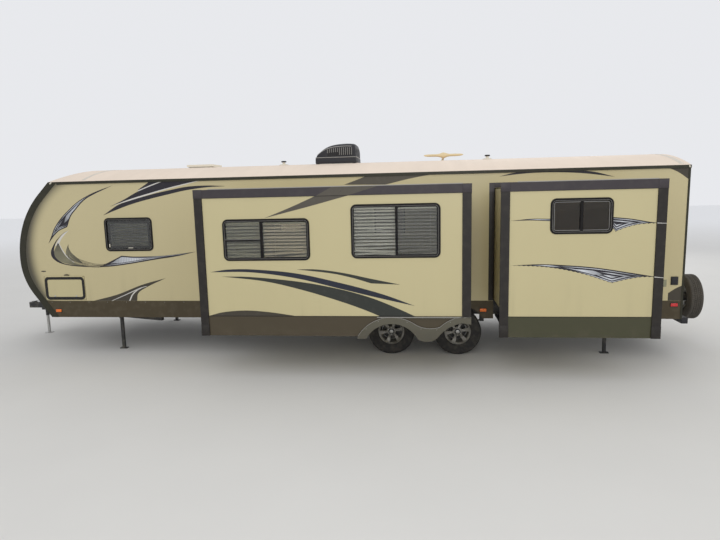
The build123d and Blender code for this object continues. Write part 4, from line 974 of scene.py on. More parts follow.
    def build(self, name: str, body: str, slot: str, shades: list["Shade"], replaces: tuple = (),
              sharp: float = 35.0) -> None:
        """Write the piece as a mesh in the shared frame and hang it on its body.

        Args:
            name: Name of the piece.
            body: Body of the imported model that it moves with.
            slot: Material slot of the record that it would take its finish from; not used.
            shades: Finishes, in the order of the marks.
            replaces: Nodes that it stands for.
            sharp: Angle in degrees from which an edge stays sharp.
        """
        points = (np.concatenate(self.points) + ORIGIN).astype(np.float32)
        quads = np.concatenate(self.quads).astype(np.int32)
        mesh = bpy.data.meshes.new(name)
        mesh.vertices.add(len(points))
        mesh.vertices.foreach_set("co", points.ravel())
        mesh.loops.add(quads.size)
        mesh.loops.foreach_set("vertex_index", quads.ravel())
        mesh.polygons.add(len(quads))
        mesh.polygons.foreach_set("loop_start", np.arange(0, quads.size, 4, dtype=np.int32))
        mesh.polygons.foreach_set("material_index", np.concatenate(self.marks))
        layer = mesh.uv_layers.new(name="UVMap")
        layer.data.foreach_set("uv", np.concatenate(self.maps)[quads.ravel()].astype(np.float32).ravel())
        mesh.update(calc_edges=True)
        work = welded(mesh, 2e-5)
        bmesh.ops.recalc_face_normals(work, faces=work.faces)
        work.to_mesh(mesh)
        work.free()
        mesh.polygons.foreach_set("use_smooth", np.ones(len(mesh.polygons), bool))
        mesh.set_sharp_from_angle(angle=math.radians(sharp))
        for shade in shades:
            mesh.materials.append(shade.value.material())
        hang(placed(name, mesh), body, replaces)


@dataclass
class Coachwork:
    """Finishes of the nodes whose shape stays as it is packed."""

    shades: tuple = (
        ("road_wall door_wall rear_wall front_cap", Shade.WALL),
        ("slide_1_face slide_2_face slide_1_ends slide_2_ends slide_1_decks slide_2_decks entry_door "
         "baggage_door_road baggage_door_near", Shade.PLAIN_WALL),
        ("roof", Shade.ROOF),
        ("edge_trims", Shade.BAND),
        ("slide_1_flange slide_2_flange", Shade.TRIM),
        ("skirts", Shade.SKIRT),
        ("floor_deck", Shade.DECK),
        ("chassis coupler axles leaf_springs bumper entry_step grab_handle jack_tube stabiliser_front_road "
         "stabiliser_front_door stabiliser_rear_road stabiliser_rear_door", Shade.STEEL),
        ("jack_leg", Shade.ZINC),
        ("window_frames slide_1_window_frames slide_2_window_frames", Shade.FRAME),
        ("window_glass slide_1_glass", Shade.PANE),
        ("slide_2_glass entry_door_glass", Shade.DARK_PANE),
        ("ac_unit service_fittings", Shade.BLACK),
        ("roof_fittings antenna_mast antenna_head vent_lid", Shade.CREAM),
        ("gas_cylinders", Shade.GAS),
        ("lamps", Shade.AMBER),
        ("awning", Shade.CLOTH),
        ("wheel_front_road_rim wheel_rear_road_rim wheel_front_door_rim wheel_rear_door_rim spare_rim",
         Shade.ALLOY),
        ("wheel_front_road_tyre wheel_rear_road_tyre wheel_front_door_tyre wheel_rear_door_tyre spare_tyre",
         Shade.TYRE),
    )
    olive: tuple = (0.050, 0.049, 0.020)

    def dress(self) -> None:
        """Give each node its finish."""
        split = Box.of("slide_1_flange").y0 - 0.002
        fender = Skirting("room_skirt", Shade.SKIRT.value.colour, Shade.FENDER.value.colour, split)
        coats = {node: shade.value for nodes, shade in self.shades for node in nodes.split()}
        coats |= {"slide_1_valance": fender,
                  "slide_2_valance": Skirting("rear_room_skirt", self.olive, self.olive, -9.0)}
        for node, finish in coats.items():
            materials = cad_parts[node].data.materials
            materials.clear()
            materials.append(finish.material())


@dataclass(frozen=True)
class Swoosh:
    """A stripe between two edge curves, each through points of x and z; a point given twice is a corner.

    Strips of a second film may lie over it. A strip is given by how far its two sides lie from the top edge, or
    below 0 from the foot edge, and by the shares of the stripe's length between which it runs out to points.
    """

    name: str
    shade: Shade
    top: np.ndarray
    foot: np.ndarray
    lift: float = 0.0004
    second: Shade | None = None
    strips: tuple | np.ndarray = ()
    teeth: float = 0.0
    filled: bool = True


@dataclass
class Graphics:
    """The vinyl stripes of the walls and the slide-out rooms."""

    front: tuple = (
        Swoosh("stripe_spur", Shade.INK, line(-4378, 2589, -4155, 2728, -4155, 2728, -3935, 2733),
               line(-4378, 2583, -4161, 2662, -3935, 2733)),
        Swoosh("stripe_spur_line", Shade.PALE, line(-4378, 2583, -4161, 2662, -3935, 2733), line(-4370, 2570,
               -4162, 2645, -3890, 2733), 0.0006),
        Swoosh("stripe_high", Shade.INK, line(-4864, 2341, -4640, 2437, -4380, 2566, -4162, 2645, -3890, 2733,
               -3890, 2733, -3083, 2742), line(-4864, 2341, -4698, 2396, -4496, 2458, -4171, 2542,
               -3920, 2603, -3568, 2676, -3306, 2722, -3083, 2742)),
        Swoosh("stripe_high_line", Shade.PALE, line(-4780, 2368, -4496, 2458, -4171, 2542, -3920, 2603,
               -3568, 2676, -3306, 2722), line(-4780, 2364, -4490, 2438, -4168, 2522, -3915, 2588,
               -3560, 2664, -3306, 2719), 0.0006),
        Swoosh("stripe_low", Shade.INK, line(-4985, 2208, -4755, 2350, -4643, 2396, -4173, 2515, -3817, 2584,
               -3571, 2622, -3261, 2631, -2989, 2617), line(-4985, 2208, -4743, 2296, -4467, 2383,
               -4178, 2452, -3893, 2511, -3645, 2560, -3436, 2588, -3228, 2607, -2989, 2613)),
        Swoosh("crescent_upper", Shade.INK, line(-4769, 2675, -5120, 2562, -5372, 2441, -5547, 2311,
               -5699, 2178, -5822, 2029, -5894, 1893, -5952, 1779), line(-4769, 2675, -5156, 2518,
               -5292, 2440, -5425, 2316, -5526, 2205, -5605, 2037, -5605, 2037, -5745, 1982, -5844, 1900,
               -5952, 1779), second=Shade.FLASH, strips=bands(13, 22, 10, 74, 38, -18, 16, 70, 16, 23, 70, 98,
               38, 45, 68, 96, -46, -38, 70, 92, -26, -18, 68, 96)),
        Swoosh("crescent_body", Shade.SMOKE, line(-5790, 1790, -5873, 1644, -5858, 1560, -5777, 1485,
               -5508, 1423, -5300, 1400), line(-5776, 1765, -5719, 1651, -5651, 1558, -5570, 1484,
               -5430, 1432, -5300, 1404)),
        Swoosh("crescent_light", Shade.PALE, line(-5585, 1988, -5690, 1930, -5780, 1830, -5848, 1736),
               line(-5585, 1988, -5716, 1862, -5776, 1765)),
        Swoosh("crescent_horn", Shade.SMOKE, line(-5614, 1765, -5656, 1687, -5672, 1632, -5664, 1575,
               -5560, 1500, -5400, 1455), line(-5614, 1765, -5615, 1705, -5580, 1632, -5520, 1575,
               -5460, 1520, -5400, 1458)),
        Swoosh("crescent_lines", Shade.UMBER, line(-5614, 1765, -5656, 1687, -5672, 1632, -5670, 1558,
               -5617, 1502, -5480, 1440, -5159, 1396, -4960, 1404), line(-5614, 1765, -5615, 1705,
               -5566, 1613, -5476, 1538, -5325, 1481, -5154, 1443, -4960, 1446), 0.0005, second=Shade.UMBER,
               filled=False, strips=bands(-8, -0.1, 0, 100, -28, -20, 10, 97, 0.1, 10, 45, 100,
               19, 27, 20, 98, 36, 44, 12, 80, -47, -40, 15, 72)),
        Swoosh("crescent_edge", Shade.INK, line(-5585, 1988, -5689, 1935, -5807, 1836, -5888, 1727,
               -5927, 1644, -5917, 1561, -5836, 1486, -5703, 1438, -5509, 1409, -5159, 1388),
               line(-5585, 1988, -5687, 1931, -5795, 1832, -5855, 1730, -5873, 1644, -5858, 1560, -5777, 1485,
               -5682, 1448, -5508, 1425, -5159, 1392), 0.0006),
        Swoosh("crescent_line", Shade.PALE, line(-5779, 1775, -5725, 1651, -5657, 1554, -5550, 1470),
               line(-5768, 1775, -5712, 1656, -5646, 1562, -5545, 1476), 0.0008),
        Swoosh("crescent_wedge", Shade.INK, line(-5159, 1390, -5068, 1424, -4957, 1469, -4736, 1572,
               -4736, 1572, -4516, 1556, -4039, 1566, -3507, 1623), line(-5159, 1388, -4890, 1405,
               -4605, 1440, -4201, 1502, -3803, 1558, -3507, 1623), second=Shade.FLASH,
               strips=bands(20, -38, 13, 88, -29, -20, 6, 94, 6, 11, 50, 99)),
        Swoosh("stripe_skirt", Shade.UMBER, line(-5270, 849, -4851, 952, -4434, 1105, -4027, 1211),
               line(-4536, 849, -4506, 970, -4357, 1067, -4027, 1211)),
        Swoosh("stripe_skirt_line", Shade.PALE, line(-4970, 849, -4735, 946, -4484, 1052, -4355, 1086),
               line(-4950, 849, -4725, 938, -4476, 1042, -4355, 1080), 0.0007),
        Swoosh("stripe_skirt_curl", Shade.PALE, line(-4672, 849, -4614, 951, -4526, 1025, -4450, 1052),
               line(-4650, 849, -4597, 943, -4515, 1014, -4450, 1046), 0.0007),
    )
    middle: tuple = (
        Swoosh("band_brown_wall", Shade.BROWN, line(-1165, 2590, -964, 2660, -752, 2742, -752, 2742,
               420, 2742), line(-1165, 2590, -545, 2578, -545, 2578, -222, 2650, 130, 2708, 420, 2742)),
    )
    rear: tuple = (
        Swoosh("stripe_gutter", Shade.INK, line(1071, 2651, 1292, 2700, 1562, 2724, 2021, 2718, 2363, 2685,
               2658, 2607), line(1071, 2651, 1332, 2677, 1602, 2692, 1984, 2685, 2288, 2660, 2658, 2607)),
        Swoosh("corner_high", Shade.UMBER, line(3343, 2716, 3645, 2716), line(3343, 2716, 3492, 2646,
               3645, 2533)),
        Swoosh("corner_low", Shade.UMBER, line(3444, 850, 3444, 955, 3444, 955, 3540, 1022, 3642, 1072),
               line(3446, 849, 3642, 849)),
    )
    room_1_face: tuple = (
        Swoosh("arc_low", Shade.UMBER, line(-2905, 856, -2723, 902, -2402, 927, -2086, 906, -1739, 858),
               line(-2905, 852, -1739, 852)),
        Swoosh("band_brown_face", Shade.BROWN, line(-2083, 2166, -1713, 2307, -1392, 2442), line(-2083, 2166,
               -1512, 2300, -1176, 2384, -950, 2442)),
        Swoosh("band_navy", Shade.NAVY, line(-2867, 1454, -2617, 1488, -2266, 1487, -1681, 1429, -1074, 1294,
               -542, 1147, -121, 991), line(-2867, 1454, -2303, 1448, -1684, 1364, -1076, 1216, -543, 1086,
               -121, 991)),
        Swoosh("band_slate", Shade.SLATE, line(-2711, 1394, -2306, 1385, -1617, 1313, -1077, 1209, -677, 1093,
               -346, 957, -120, 852), line(-2711, 1394, -2100, 1322, -1587, 1200, -1081, 1045, -780, 936,
               -580, 852)),
        Swoosh("band_thin", Shade.SLATE, line(-1679, 1483, -1406, 1481, -1070, 1435, -671, 1349, -309, 1274),
               line(-1679, 1483, -1205, 1426, -938, 1367, -689, 1292, -689, 1292, -309, 1274)),
    )
    room_1_flange: tuple = (
        Swoosh("band_brown_flange", Shade.BROWN, line(-1385, 2442.5, -1175, 2551.5), line(-955, 2442.5,
               -570, 2551.5)),
    )
    room_2_face: tuple = (
        Swoosh("dart_high_front", Shade.INK, line(1071, 2076, 1333, 2099, 1560, 2095), line(1071, 2076,
               1333, 2078, 1560, 2066), second=Shade.FLASH, strips=bands(8, -10, 22, 108)),
        Swoosh("dart_high_rear", Shade.INK, line(2302, 2103, 2528, 2077, 2725, 2039, 2811, 2026),
               line(2302, 1968, 2335, 1922, 2335, 1922, 2468, 1973, 2629, 2008, 2811, 2016),
               second=Shade.FLASH, teeth=0.01, strips=bands(13, 21, -8, 92, 38, 50, -8, 82, -84, -68, -8, 72,
               -52, -36, -8, 88, -22, -13, -8, 90)),
        Swoosh("dart_low", Shade.INK, line(1080, 1513, 1447, 1527, 1787, 1510, 2124, 1479, 2492, 1420,
               2811, 1364), line(1080, 1513, 1551, 1483, 1959, 1400, 2316, 1281, 2316, 1281, 2496, 1325,
               2660, 1352, 2811, 1354), second=Shade.FLASH, teeth=0.012, strips=bands(12, -17, 8, 36,
               15, 23, 34, 94, 42, -30, 24, 66, 42, 54, 62, 92, 74, 88, 62, 84, -82, -66, 60, 88,
               -50, -34, 58, 93, -20, -12, 45, 95)),
    )
    room_2_flange: tuple = (
        Swoosh("dart_high_line", Shade.PALE, line(2811, 2027, 2921, 2020), line(2811, 2019, 2921, 2015)),
        Swoosh("dart_low_line", Shade.PALE, line(2811, 1364, 2921, 1352), line(2811, 1355, 2921, 1346)),
    )
    door_shift: float = 1.60
    count: int = 97
    tooth_pitch: float = 0.055
    point: float = 0.08

    def strip(self, top: np.ndarray, foot: np.ndarray, sides: tuple, span: tuple) -> tuple:
        """Edges of a strip: the stripe's top edge plus shares of the way to its foot edge, which close in on the
        strip's middle towards both its ends.

        Args:
            top, foot: Edges of the stripe.
            sides: Distance of each side from the top edge, or below 0 from the foot edge.
            span: Shares of the length between which it runs.

        Returns:
            Its two edges, or empty ones where the stripe is too narrow for it.
        """
        run = foot - top
        width = np.maximum(np.linalg.norm(run, axis=1), 1e-6)
        share = np.linspace(0, 1, len(top))
        first, last = (np.minimum(side / width, 0.5) if side > 0 else np.maximum(1 + side / width, 0.5)
                       for side in sides)
        taper = np.clip(np.minimum(share - span[0], span[1] - share) / self.point, 0, 1)
        centre, half = (first + last) / 2, np.maximum(last - first, 0) / 2 * taper
        wide = np.flatnonzero(half * width > 2e-4)
        part = slice(wide[0], wide[-1] + 1) if len(wide) > 1 else slice(0, 0)
        return (top + run * (centre - half)[:, None])[part], (top + run * (centre + half)[:, None])[part]

    def apply(self, stripes: tuple, y: float, out: float, body: str, suffix: str = "", shift: float = 0.0) -> None:
        """Lay a group of stripes on one wall.

        Args:
            stripes: The stripes.
            y: Place of the wall's surface.
            out: Which way the wall faces.
            body: Body that the wall belongs to.
            suffix: End of each piece's name.
            shift: How far the stripes move along x.
        """
        for stripe in stripes:
            form = Form()
            top, foot = (curve(edge, self.count) + [shift, 0.0] for edge in (stripe.top, stripe.foot))
            for *sides, start, end in stripe.strips:
                edges = self.strip(top, foot, sides, (start, end))
                if len(edges[0]):
                    form.film(*edges, y, out, stripe.lift + 0.0003, 1)
            tooth = stripe.teeth * (reach_along(foot) / self.tooth_pitch % 1.0)
            width = np.maximum(np.linalg.norm(foot - top, axis=1), 1e-6)
            foot = foot + (top - foot) * np.minimum(tooth / width, 0.5)[:, None]
            if stripe.filled:
                form.film(top, foot, y, out, stripe.lift)
            form.build(stripe.name + suffix, body, "dark_trim", [stripe.shade, stripe.second or stripe.shade])

    def dress(self) -> None:
        """Lay all stripes: the road side as photographed, and like ones on the door side."""
        self.apply(self.front + self.middle + self.rear, ROAD_Y, -1, "trailer")
        for stripes, node, room in ((self.room_1_face, "slide_1_face", "slide_1_room"),
                                    (self.room_1_flange, "slide_1_flange", "slide_1_room"),
                                    (self.room_2_face, "slide_2_face", "slide_2_room"),
                                    (self.room_2_flange, "slide_2_flange", "slide_2_room")):
            self.apply(stripes, Box.of(node).y0, -1, room)
        self.apply(self.front + self.rear, DOOR_Y, 1, "trailer", "_door_side")
        self.apply(self.room_1_face[2:], DOOR_Y, 1, "trailer", "_door_side", self.door_shift)


@dataclass
class RoadTyre:
    """A tyre with four grooves round its tread and short cross cuts between them."""

    radius: float
    width: float
    bore: float
    groove_depth: float = 0.008
    grooves: tuple = (-0.040, -0.0135, 0.0135, 0.040)
    groove_half: float = 0.0042
    groove_slope: float = 0.0012
    cuts: int = 64
    cut_half: float = 0.11
    cut_slope: float = 0.03
    cut_slant: float = 9.0
    cut_share: float = 0.8
    rib_half: float = 0.017
    steps: int = 256

    def surface(self) -> np.ndarray:
        """Points of the tyre round the axis of y: the profile's radius less the depth of grooves and cuts.

        Returns:
            A grid closed both ways, profile by turn.
        """
        radius, bore, half = self.radius, self.bore, self.width / 2
        crown = np.linspace(-half + 0.030, half - 0.030, 45)
        side = drawn([(bore + 0.004, -half + 0.020), (bore + 0.02, -half - 0.002),
                      (radius - 0.060, -half - 0.006), (radius - 0.004, -half + 0.002),
                      (radius - 0.0008, -half + 0.026)], 14)
        profile = np.concatenate([
            side, np.stack([radius - 0.0006 * (crown / half) ** 2, crown], axis=-1),
            (side * [1, -1])[::-1], [(bore, half - 0.020), (bore, -half + 0.020)]])
        turn = np.linspace(0, WHOLE_TURN, self.steps, endpoint=False)
        place = profile[:, 1:2]
        on_tread = (profile[:, :1] > radius - 0.003).astype(float)
        groove = sum(np.clip((self.groove_half - abs(place - centre)) / self.groove_slope, 0, 1)
                     for centre in self.grooves)
        phase = (turn * self.cuts / WHOLE_TURN + place * self.cut_slant) % 1.0
        cut = np.clip((self.cut_half - abs(phase - 0.5)) / self.cut_slope, 0, 1) * (abs(place) > self.rib_half)
        reach = profile[:, :1] - self.groove_depth * on_tread * np.maximum(groove, cut * self.cut_share)
        return np.stack([reach * np.cos(turn), np.broadcast_to(place, reach.shape), reach * np.sin(turn)], axis=-1)


@dataclass
class AlloyRim:
    """A cast rim: barrel, six spokes that widen outwards, hub disc, nuts and centre cap."""

    radius: float
    depth: float
    spokes: int = 6
    hub: float = 0.072
    nuts: int = 6
    nut_circle: float = 0.052
    tilt: float = math.radians(20)
    root: float = 0.045
    well: float = 0.022

    def barrel(self) -> np.ndarray:
        """Profile of the barrel: rolled lips, beads and a drop centre.

        Returns:
            Points of radius and place.
        """
        r, d = self.radius, self.depth
        return np.array([
            (r, -d), (r, -d + 0.006), (r - 0.006, -d + 0.012), (r - 0.020, -d + 0.016), (r - 0.022, -0.030),
            (r - 0.040, -0.010), (r - 0.040, 0.030), (r - 0.022, 0.045), (r - 0.022, d - 0.012), (r, d - 0.006),
            (r, d), (r - 0.008, d), (r - 0.030, d - 0.016), (r - 0.030, 0.046), (r - 0.047, 0.032),
            (r - 0.047, -0.014), (r - 0.030, -d + 0.040), (r - 0.026, -d + 0.014), (r - 0.013, -d + 0.004),
            (r - 0.006, -d - 0.001)])

    def spoke(self) -> np.ndarray:
        """One spoke up the axis of z: rounded sections whose width grows and whose face dips between hub and rim.

        Returns:
            Rings of points, from hub to rim.
        """
        share = np.linspace(0, 1, 12)[:, None]
        reach = self.root + share * (self.radius - self.well - self.root)
        half = 0.019 + 0.021 * share ** 2
        face = -self.depth + 0.018 + 0.016 * np.sin(share * math.pi) - 0.010 * share
        across, inward = (squared(wave, 0.6)[None] for wave in oval(20, 1.0).T)
        crease = 0.006 * np.clip(1 - np.abs(across) / 0.35, 0, 1) * (inward < 0) * np.sin(share * math.pi)
        return np.stack(np.broadcast_arrays(half * across, face + 0.014 + 0.013 * inward + crease, reach), axis=-1)

    def form(self) -> Form:
        """The rim about its own middle, its outside towards -y.

        Returns:
            A form with marks for alloy, black cap ring and zinc nuts.
        """
        d = self.depth
        own = Form()
        own.lathe(self.barrel(), (0, 0, 0), 1, 96, closed=True)
        for angle in self.tilt + np.arange(self.spokes) * WHOLE_TURN / self.spokes:
            spin = np.array([[math.cos(angle), 0, math.sin(angle)], [0, 1, 0],
                             [-math.sin(angle), 0, math.cos(angle)]])
            own.shell(self.spoke() @ spin.T)
        own.lathe([(self.hub, 0.020), (self.hub, -d + 0.030), (self.hub - 0.010, -d + 0.022), (0.03, -d + 0.020)],
                  (0, 0, 0), 1)
        own.lathe([(0.032, -d + 0.024), (0.032, -d + 0.004), (0.028, -d - 0.002), (0.016, -d - 0.0055)],
                  (0, 0, 0), 1, 32, 2)
        own.lathe([(0.042, -d + 0.024), (0.042, -d + 0.015), (0.036, -d + 0.012), (0.033, -d + 0.020)],
                  (0, 0, 0), 1, 32, 1)
        for z, x in oval(self.nuts, self.nut_circle):
            own.lathe([(0.0095, -d + 0.026), (0.0095, -d + 0.012), (0.006, -d + 0.008)], (x, 0, z), 1, 6, 2)
        return own


@dataclass
class Wheels:
    """The four road wheels and the spare."""

    names: tuple = ("wheel_front_road", "wheel_rear_road", "wheel_front_door", "wheel_rear_door")
    rim_share: float = 0.42

    def one(self, name: str, body: str, angle: float) -> None:
        """Make one wheel's tyre and rim in the place of their nodes.

        Args:
            name: Start of the nodes' names.
            body: Body that the wheel belongs to.
            angle: Turn about z that brings -y to the wheel's outside.
        """
        tyre = Box.of(name + "_tyre")
        width, height = tyre.size.min(), tyre.size.max()
        rim_radius = Box.of(name + "_rim").size.max() / 2
        turn = np.array(Matrix.Rotation(angle, 3, "Z"))
        form = Form()
        form.grid(RoadTyre(height / 2, width, rim_radius).surface() @ turn.T + tyre.centre, True, True)
        shade = Shade.SPARE_TYRE if name == "spare" else Shade.TYRE
        form.build(name + "_road_tyre", body, "tyre", [shade], (name + "_tyre",), 28.0)
        form = Form()
        form.add(AlloyRim(rim_radius, width * self.rim_share).form(), turn, tyre.centre)
        form.build(name + "_alloy_rim", body, "rim_alloy", [Shade.ALLOY, Shade.BLACK, Shade.ZINC],
                   (name + "_rim",), 40.0)

    def dress(self) -> None:
        """Make all wheels."""
        for name in self.names:
            self.one(name, name, 0 if "road" in name else math.pi)
        self.one("spare", "trailer", math.pi / 2)


@dataclass
class Windows:
    """Seals, sashes and blinds of the windows, placed by the frames' own boxes.

    A bead of a seal is given by its inset from the frame's sides, the radius of its corners, how far it lies
    behind the frame's face, its thickness and its mark. Tones are the slats' finishes on both sides of the upright
    bar, by the place of the window's front side; the dim and shadowed ones carry painted shade. Slats are a width
    and a lean for each side of the body.
    """

    groups: tuple = (("window", "trailer"), ("slide_1_window", "slide_1_room"), ("slide_2_window", "slide_2_room"))
    # the second bead, in grey, is a painted highlight line round the frame's inside
    seal_and_highlight_beads: tuple = ((0.0045, 0.0637, 0.0040, 0.0036, 0), (0.0215, 0.0467, 0.0012, 0.0018, 1),
                    (0.0300, 0.0305, 0.0035, 0.0035, 0))
    dark_bead: tuple = ((0.0420, 0.0265, 0.0120, 0.0035, 1),)
    lip: tuple = ((-0.003, 0.071, 0.0105, 0.003, 0),)
    sunk: float = 0.018
    sash_inset: float = 0.036
    front_window: float = -4.0
    slat_pitch: float = 0.043
    slats: tuple = ((0.040, 0.62), (0.047, 1.35))
    behind: float = 0.046
    jamb: float = 0.034
    bar_level: float = 1.879
    bar_window: float = -2.657
    # the dim and the darkest slat tones are painted shade inside the windows
    tones: tuple = ((-4.976, Shade.SHADE, Shade.SHADE), (-2.657, Shade.DIM_SLAT, Shade.WARM_SLAT),
                    (-0.934, Shade.SLAT, Shade.SCREENED_SLAT))

    def dress(self) -> None:
        """Dress every window; those of the small room have dark panes and no blind."""
        for name, body in self.groups:
            node = name + "_frames"
            for number, box in enumerate(Box.solids(node)):
                dark = body == "slide_2_room"
                bar = self.mullion(node, box)
                self.seals(f"{name}_{number + 1}", body, box, bar, dark)
                if not dark:
                    self.blind(f"{name}_{number + 1}", body, box, bar)

    def mullion(self, node: str, box: Box) -> float | None:
        """Middle of a window's upright bar: of the frame's corners that lie well inside its box.

        Args:
            node: Node of the frame.
            box: Box of the frame.

        Returns:
            Its place along x, or None where the window has none.
        """
        places = vertices(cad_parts[node].data) - ORIGIN
        inside = np.all((places > box.low - 0.001) & (places < box.high + 0.001), axis=1)
        x = places[inside, 0]
        x = x[(x > box.x0 + 0.08) & (x < box.x1 - 0.08)]
        return float((x.min() + x.max()) / 2) if len(x) else None

    def seals(self, name: str, body: str, box: Box, bar: float | None, dark: bool) -> None:
        """Beads round a window, one of them a grey line of painted highlight, the sash and its catch; the front
        window also gets a dark ring of painted shade.

        Args:
            name: Start of the piece's name.
            body: Body that the window belongs to.
            box: Box of its frame.
            bar: Middle of its upright bar, if it has one.
            dark: Whether it is one of the dark ones.
        """
        seal, out = Form(), box.out
        for inset, radius, drop, size, mark in self.seal_and_highlight_beads + self.dark_bead * dark + self.lip:
            seal.hoop(box.loop(inset, radius, 8), box.face - out * drop, oval(8, size), mark)
        pane, inset = box.face - out * self.sunk, self.sash_inset
        if bar and not dark:
            sash = rounded_loop(bar + 0.012, box.x1 - inset, box.z0 + inset, box.z1 - inset, 0.0245, 5)
            seal.hoop(sash, pane, oval(8, 0.006))
            seal.block((bar - 0.008, pane, box.z0 + 0.30), (bar + 0.004, pane + out * 0.012, box.z0 + 0.36),
                       mark=1)
        if box.x0 < self.front_window:
            # dark flat ring in the front window: painted shade in the gap between frame and blind
            seal.hoop(box.loop(0.058, 0.022, 5), box.face - out * 0.025, oval(8, 0.024, 0.002))
            for x0, x1, z0, z1 in ((box.x0 + 0.052, box.x0 + 0.066, 0.06, 0.11), (-4.61, -4.53, 0.04, 0.052)):
                seal.block((x0, pane, box.z0 + z0), (x1, pane + out * 0.008, box.z0 + z1), mark=2)
        if bar and abs(box.x0 - self.bar_window) < 0.02:
            seal.block((box.x0 + self.jamb, box.face - 0.002, self.bar_level + 0.008),
                       (bar - 0.018, box.face + 0.004, self.bar_level + 0.013), 0.001, 1)
        seal.build(name + "_seals", body, "window_trim", [Shade.RUBBER, Shade.GREY, Shade.CREAM])

    def blind(self, name: str, body: str, box: Box, bar: float | None) -> None:
        """Slatted blind behind a window: arched slats that lean, the lowest few loose on their ladder cords.

        Args:
            name: Start of the piece's name.
            body: Body that the window belongs to.
            box: Box of the window's frame.
            bar: Middle of its upright bar, if it has one.
        """
        form = Form()
        width, tilt = self.slats[box.out > 0]
        inner = box.face - box.out * self.behind
        left, right = box.x0 + self.jamb, box.x1 - self.jamb
        run = np.linspace(left, right, 33)[:, None]
        split = int(np.searchsorted(run[:, 0], bar or right))
        share = (run - run[0]) / (run[-1] - run[0])
        across = np.linspace(-1.0, 1.0, 5)[None]
        chord = across * width / 2
        for k in range(int((box.size[2] - 0.06) / self.slat_pitch)):
            loose = max(0.0, 1.0 - k / 4.0)
            droop = loose * (0.012 * np.sin(2.2 * math.pi * share + 1.7 * k) + 0.02 * np.clip(share - 0.6, 0, 1))
            lean = tilt + 0.12 * math.sin(2.4 * k)
            level = box.z0 + 0.045 + self.slat_pitch * k
            z = level + droop - chord * math.sin(lean) * box.out + 0.004 * (1 - across ** 2)
            top = np.stack(np.broadcast_arrays(run, inner + chord * math.cos(lean), z), axis=-1)
            ring = np.concatenate([top, (top - [0, 0, 0.0012])[:, ::-1]], axis=1)
            form.grid(ring[:split + 1], around=True)
            form.grid(ring[split:], around=True, mark=1)
        for x in np.linspace(box.x0 + 0.12, box.x1 - 0.12, 3):
            form.block((x - 0.0012, inner - 0.0012, box.z0 + 0.04), (x + 0.0012, inner + 0.0012, box.z1 - 0.05),
                       0.0008)
        form.block((left, inner - 0.016, box.z1 - 0.062), (right, inner + 0.016, box.z1 - 0.036))
        tone = min(self.tones, key=lambda row: abs(row[0] - box.x0))
        form.build(name + "_blind", body, "cream_plastic", tone[1:])


@dataclass
class RoomTrims:
    """Corner blocks, foot caps, seals and screws of the slide-out rooms, and the trim round their openings."""

    rooms: tuple = ("slide_1", "slide_2")
    width: float = 0.110
    cap: float = 0.156
    screw_pitch: float = 0.29
    opening_gap: float = 0.012
    opening_width: float = 0.075
    opening_lift: float = 0.0008

    def dress(self) -> None:
        """Dress both rooms and their openings."""
        for room in self.rooms:
            self.room(room)
            self.opening(room)

    def room(self, room: str) -> None:
        """Trim of one room's outer face.

        Args:
            room: Start of its nodes' names.
        """
        flange, skirt = Box.of(room + "_flange"), Box.of(room + "_valance")
        face, w = flange.y0, self.width
        covered = skirt.x1 > flange.x1 - 0.01
        corner, cap = (flange.z1 - w - 0.006, flange.z1 + 0.003), (flange.z0 - 0.003, flange.z0 + self.cap)
        form = Form()
        for x, ends in ((flange.x0, (corner, cap)), (flange.x1 - w, (corner,) if covered else (corner, cap))):
            for z0, z1 in ends:
                form.block((x - 0.003, face - 0.004, z0), (x + w + 0.003, flange.y1 - 0.001, z1), 0.004)
        form.block((flange.x0 + 0.20, face + 0.001, flange.z1 - 0.003),
                   (flange.x1 - w, face + 0.012, flange.z1 + 0.010), mark=1)
        bead = rounded_loop(flange.x0 + w, flange.x1 - w, skirt.z1 + 0.002, flange.z1 - w, 0.006, 3)
        form.hoop(bead, face + 0.0125, oval(6, 0.004))
        for x in np.arange(flange.x0 + 0.24, flange.x1 - 0.2, self.screw_pitch):
            form.screw((x, face, flange.z1 - w / 2), -1.0)
        for z in np.arange(flange.z0 + 0.30, flange.z1 - 0.2, self.screw_pitch):
            form.screw((flange.x0 + w / 2, face, z), -1.0)
            if z > skirt.z1 or not covered:
                form.screw((flange.x1 - w / 2, face, z), -1.0)
        form.build(room + "_trim", room + "_room", "dark_trim", [Shade.TRIM, Shade.GREY])

    def opening(self, room: str) -> None:
        """Flat trim round a room's opening in the road wall, thin enough for the room's flange to close on it.

        Args:
            room: Start of its nodes' names.
        """
        decks, side = Box.of(room + "_decks"), self.opening_width
        x0, x1, top = decks.x0 - self.opening_gap, decks.x1 + self.opening_gap, decks.z1 + self.opening_gap
        form = Form()
        for a, b, foot in ((x0 - side, x0, WALL_FOOT), (x1, x1 + side, WALL_FOOT), (x0, x1, top)):
            form.block((a, ROAD_Y - self.opening_lift, foot + 0.002), (b, ROAD_Y + 0.0008, top + side), 0.0004)
        form.build(room + "_opening_trim", "trailer", "dark_trim", [Shade.TRIM])


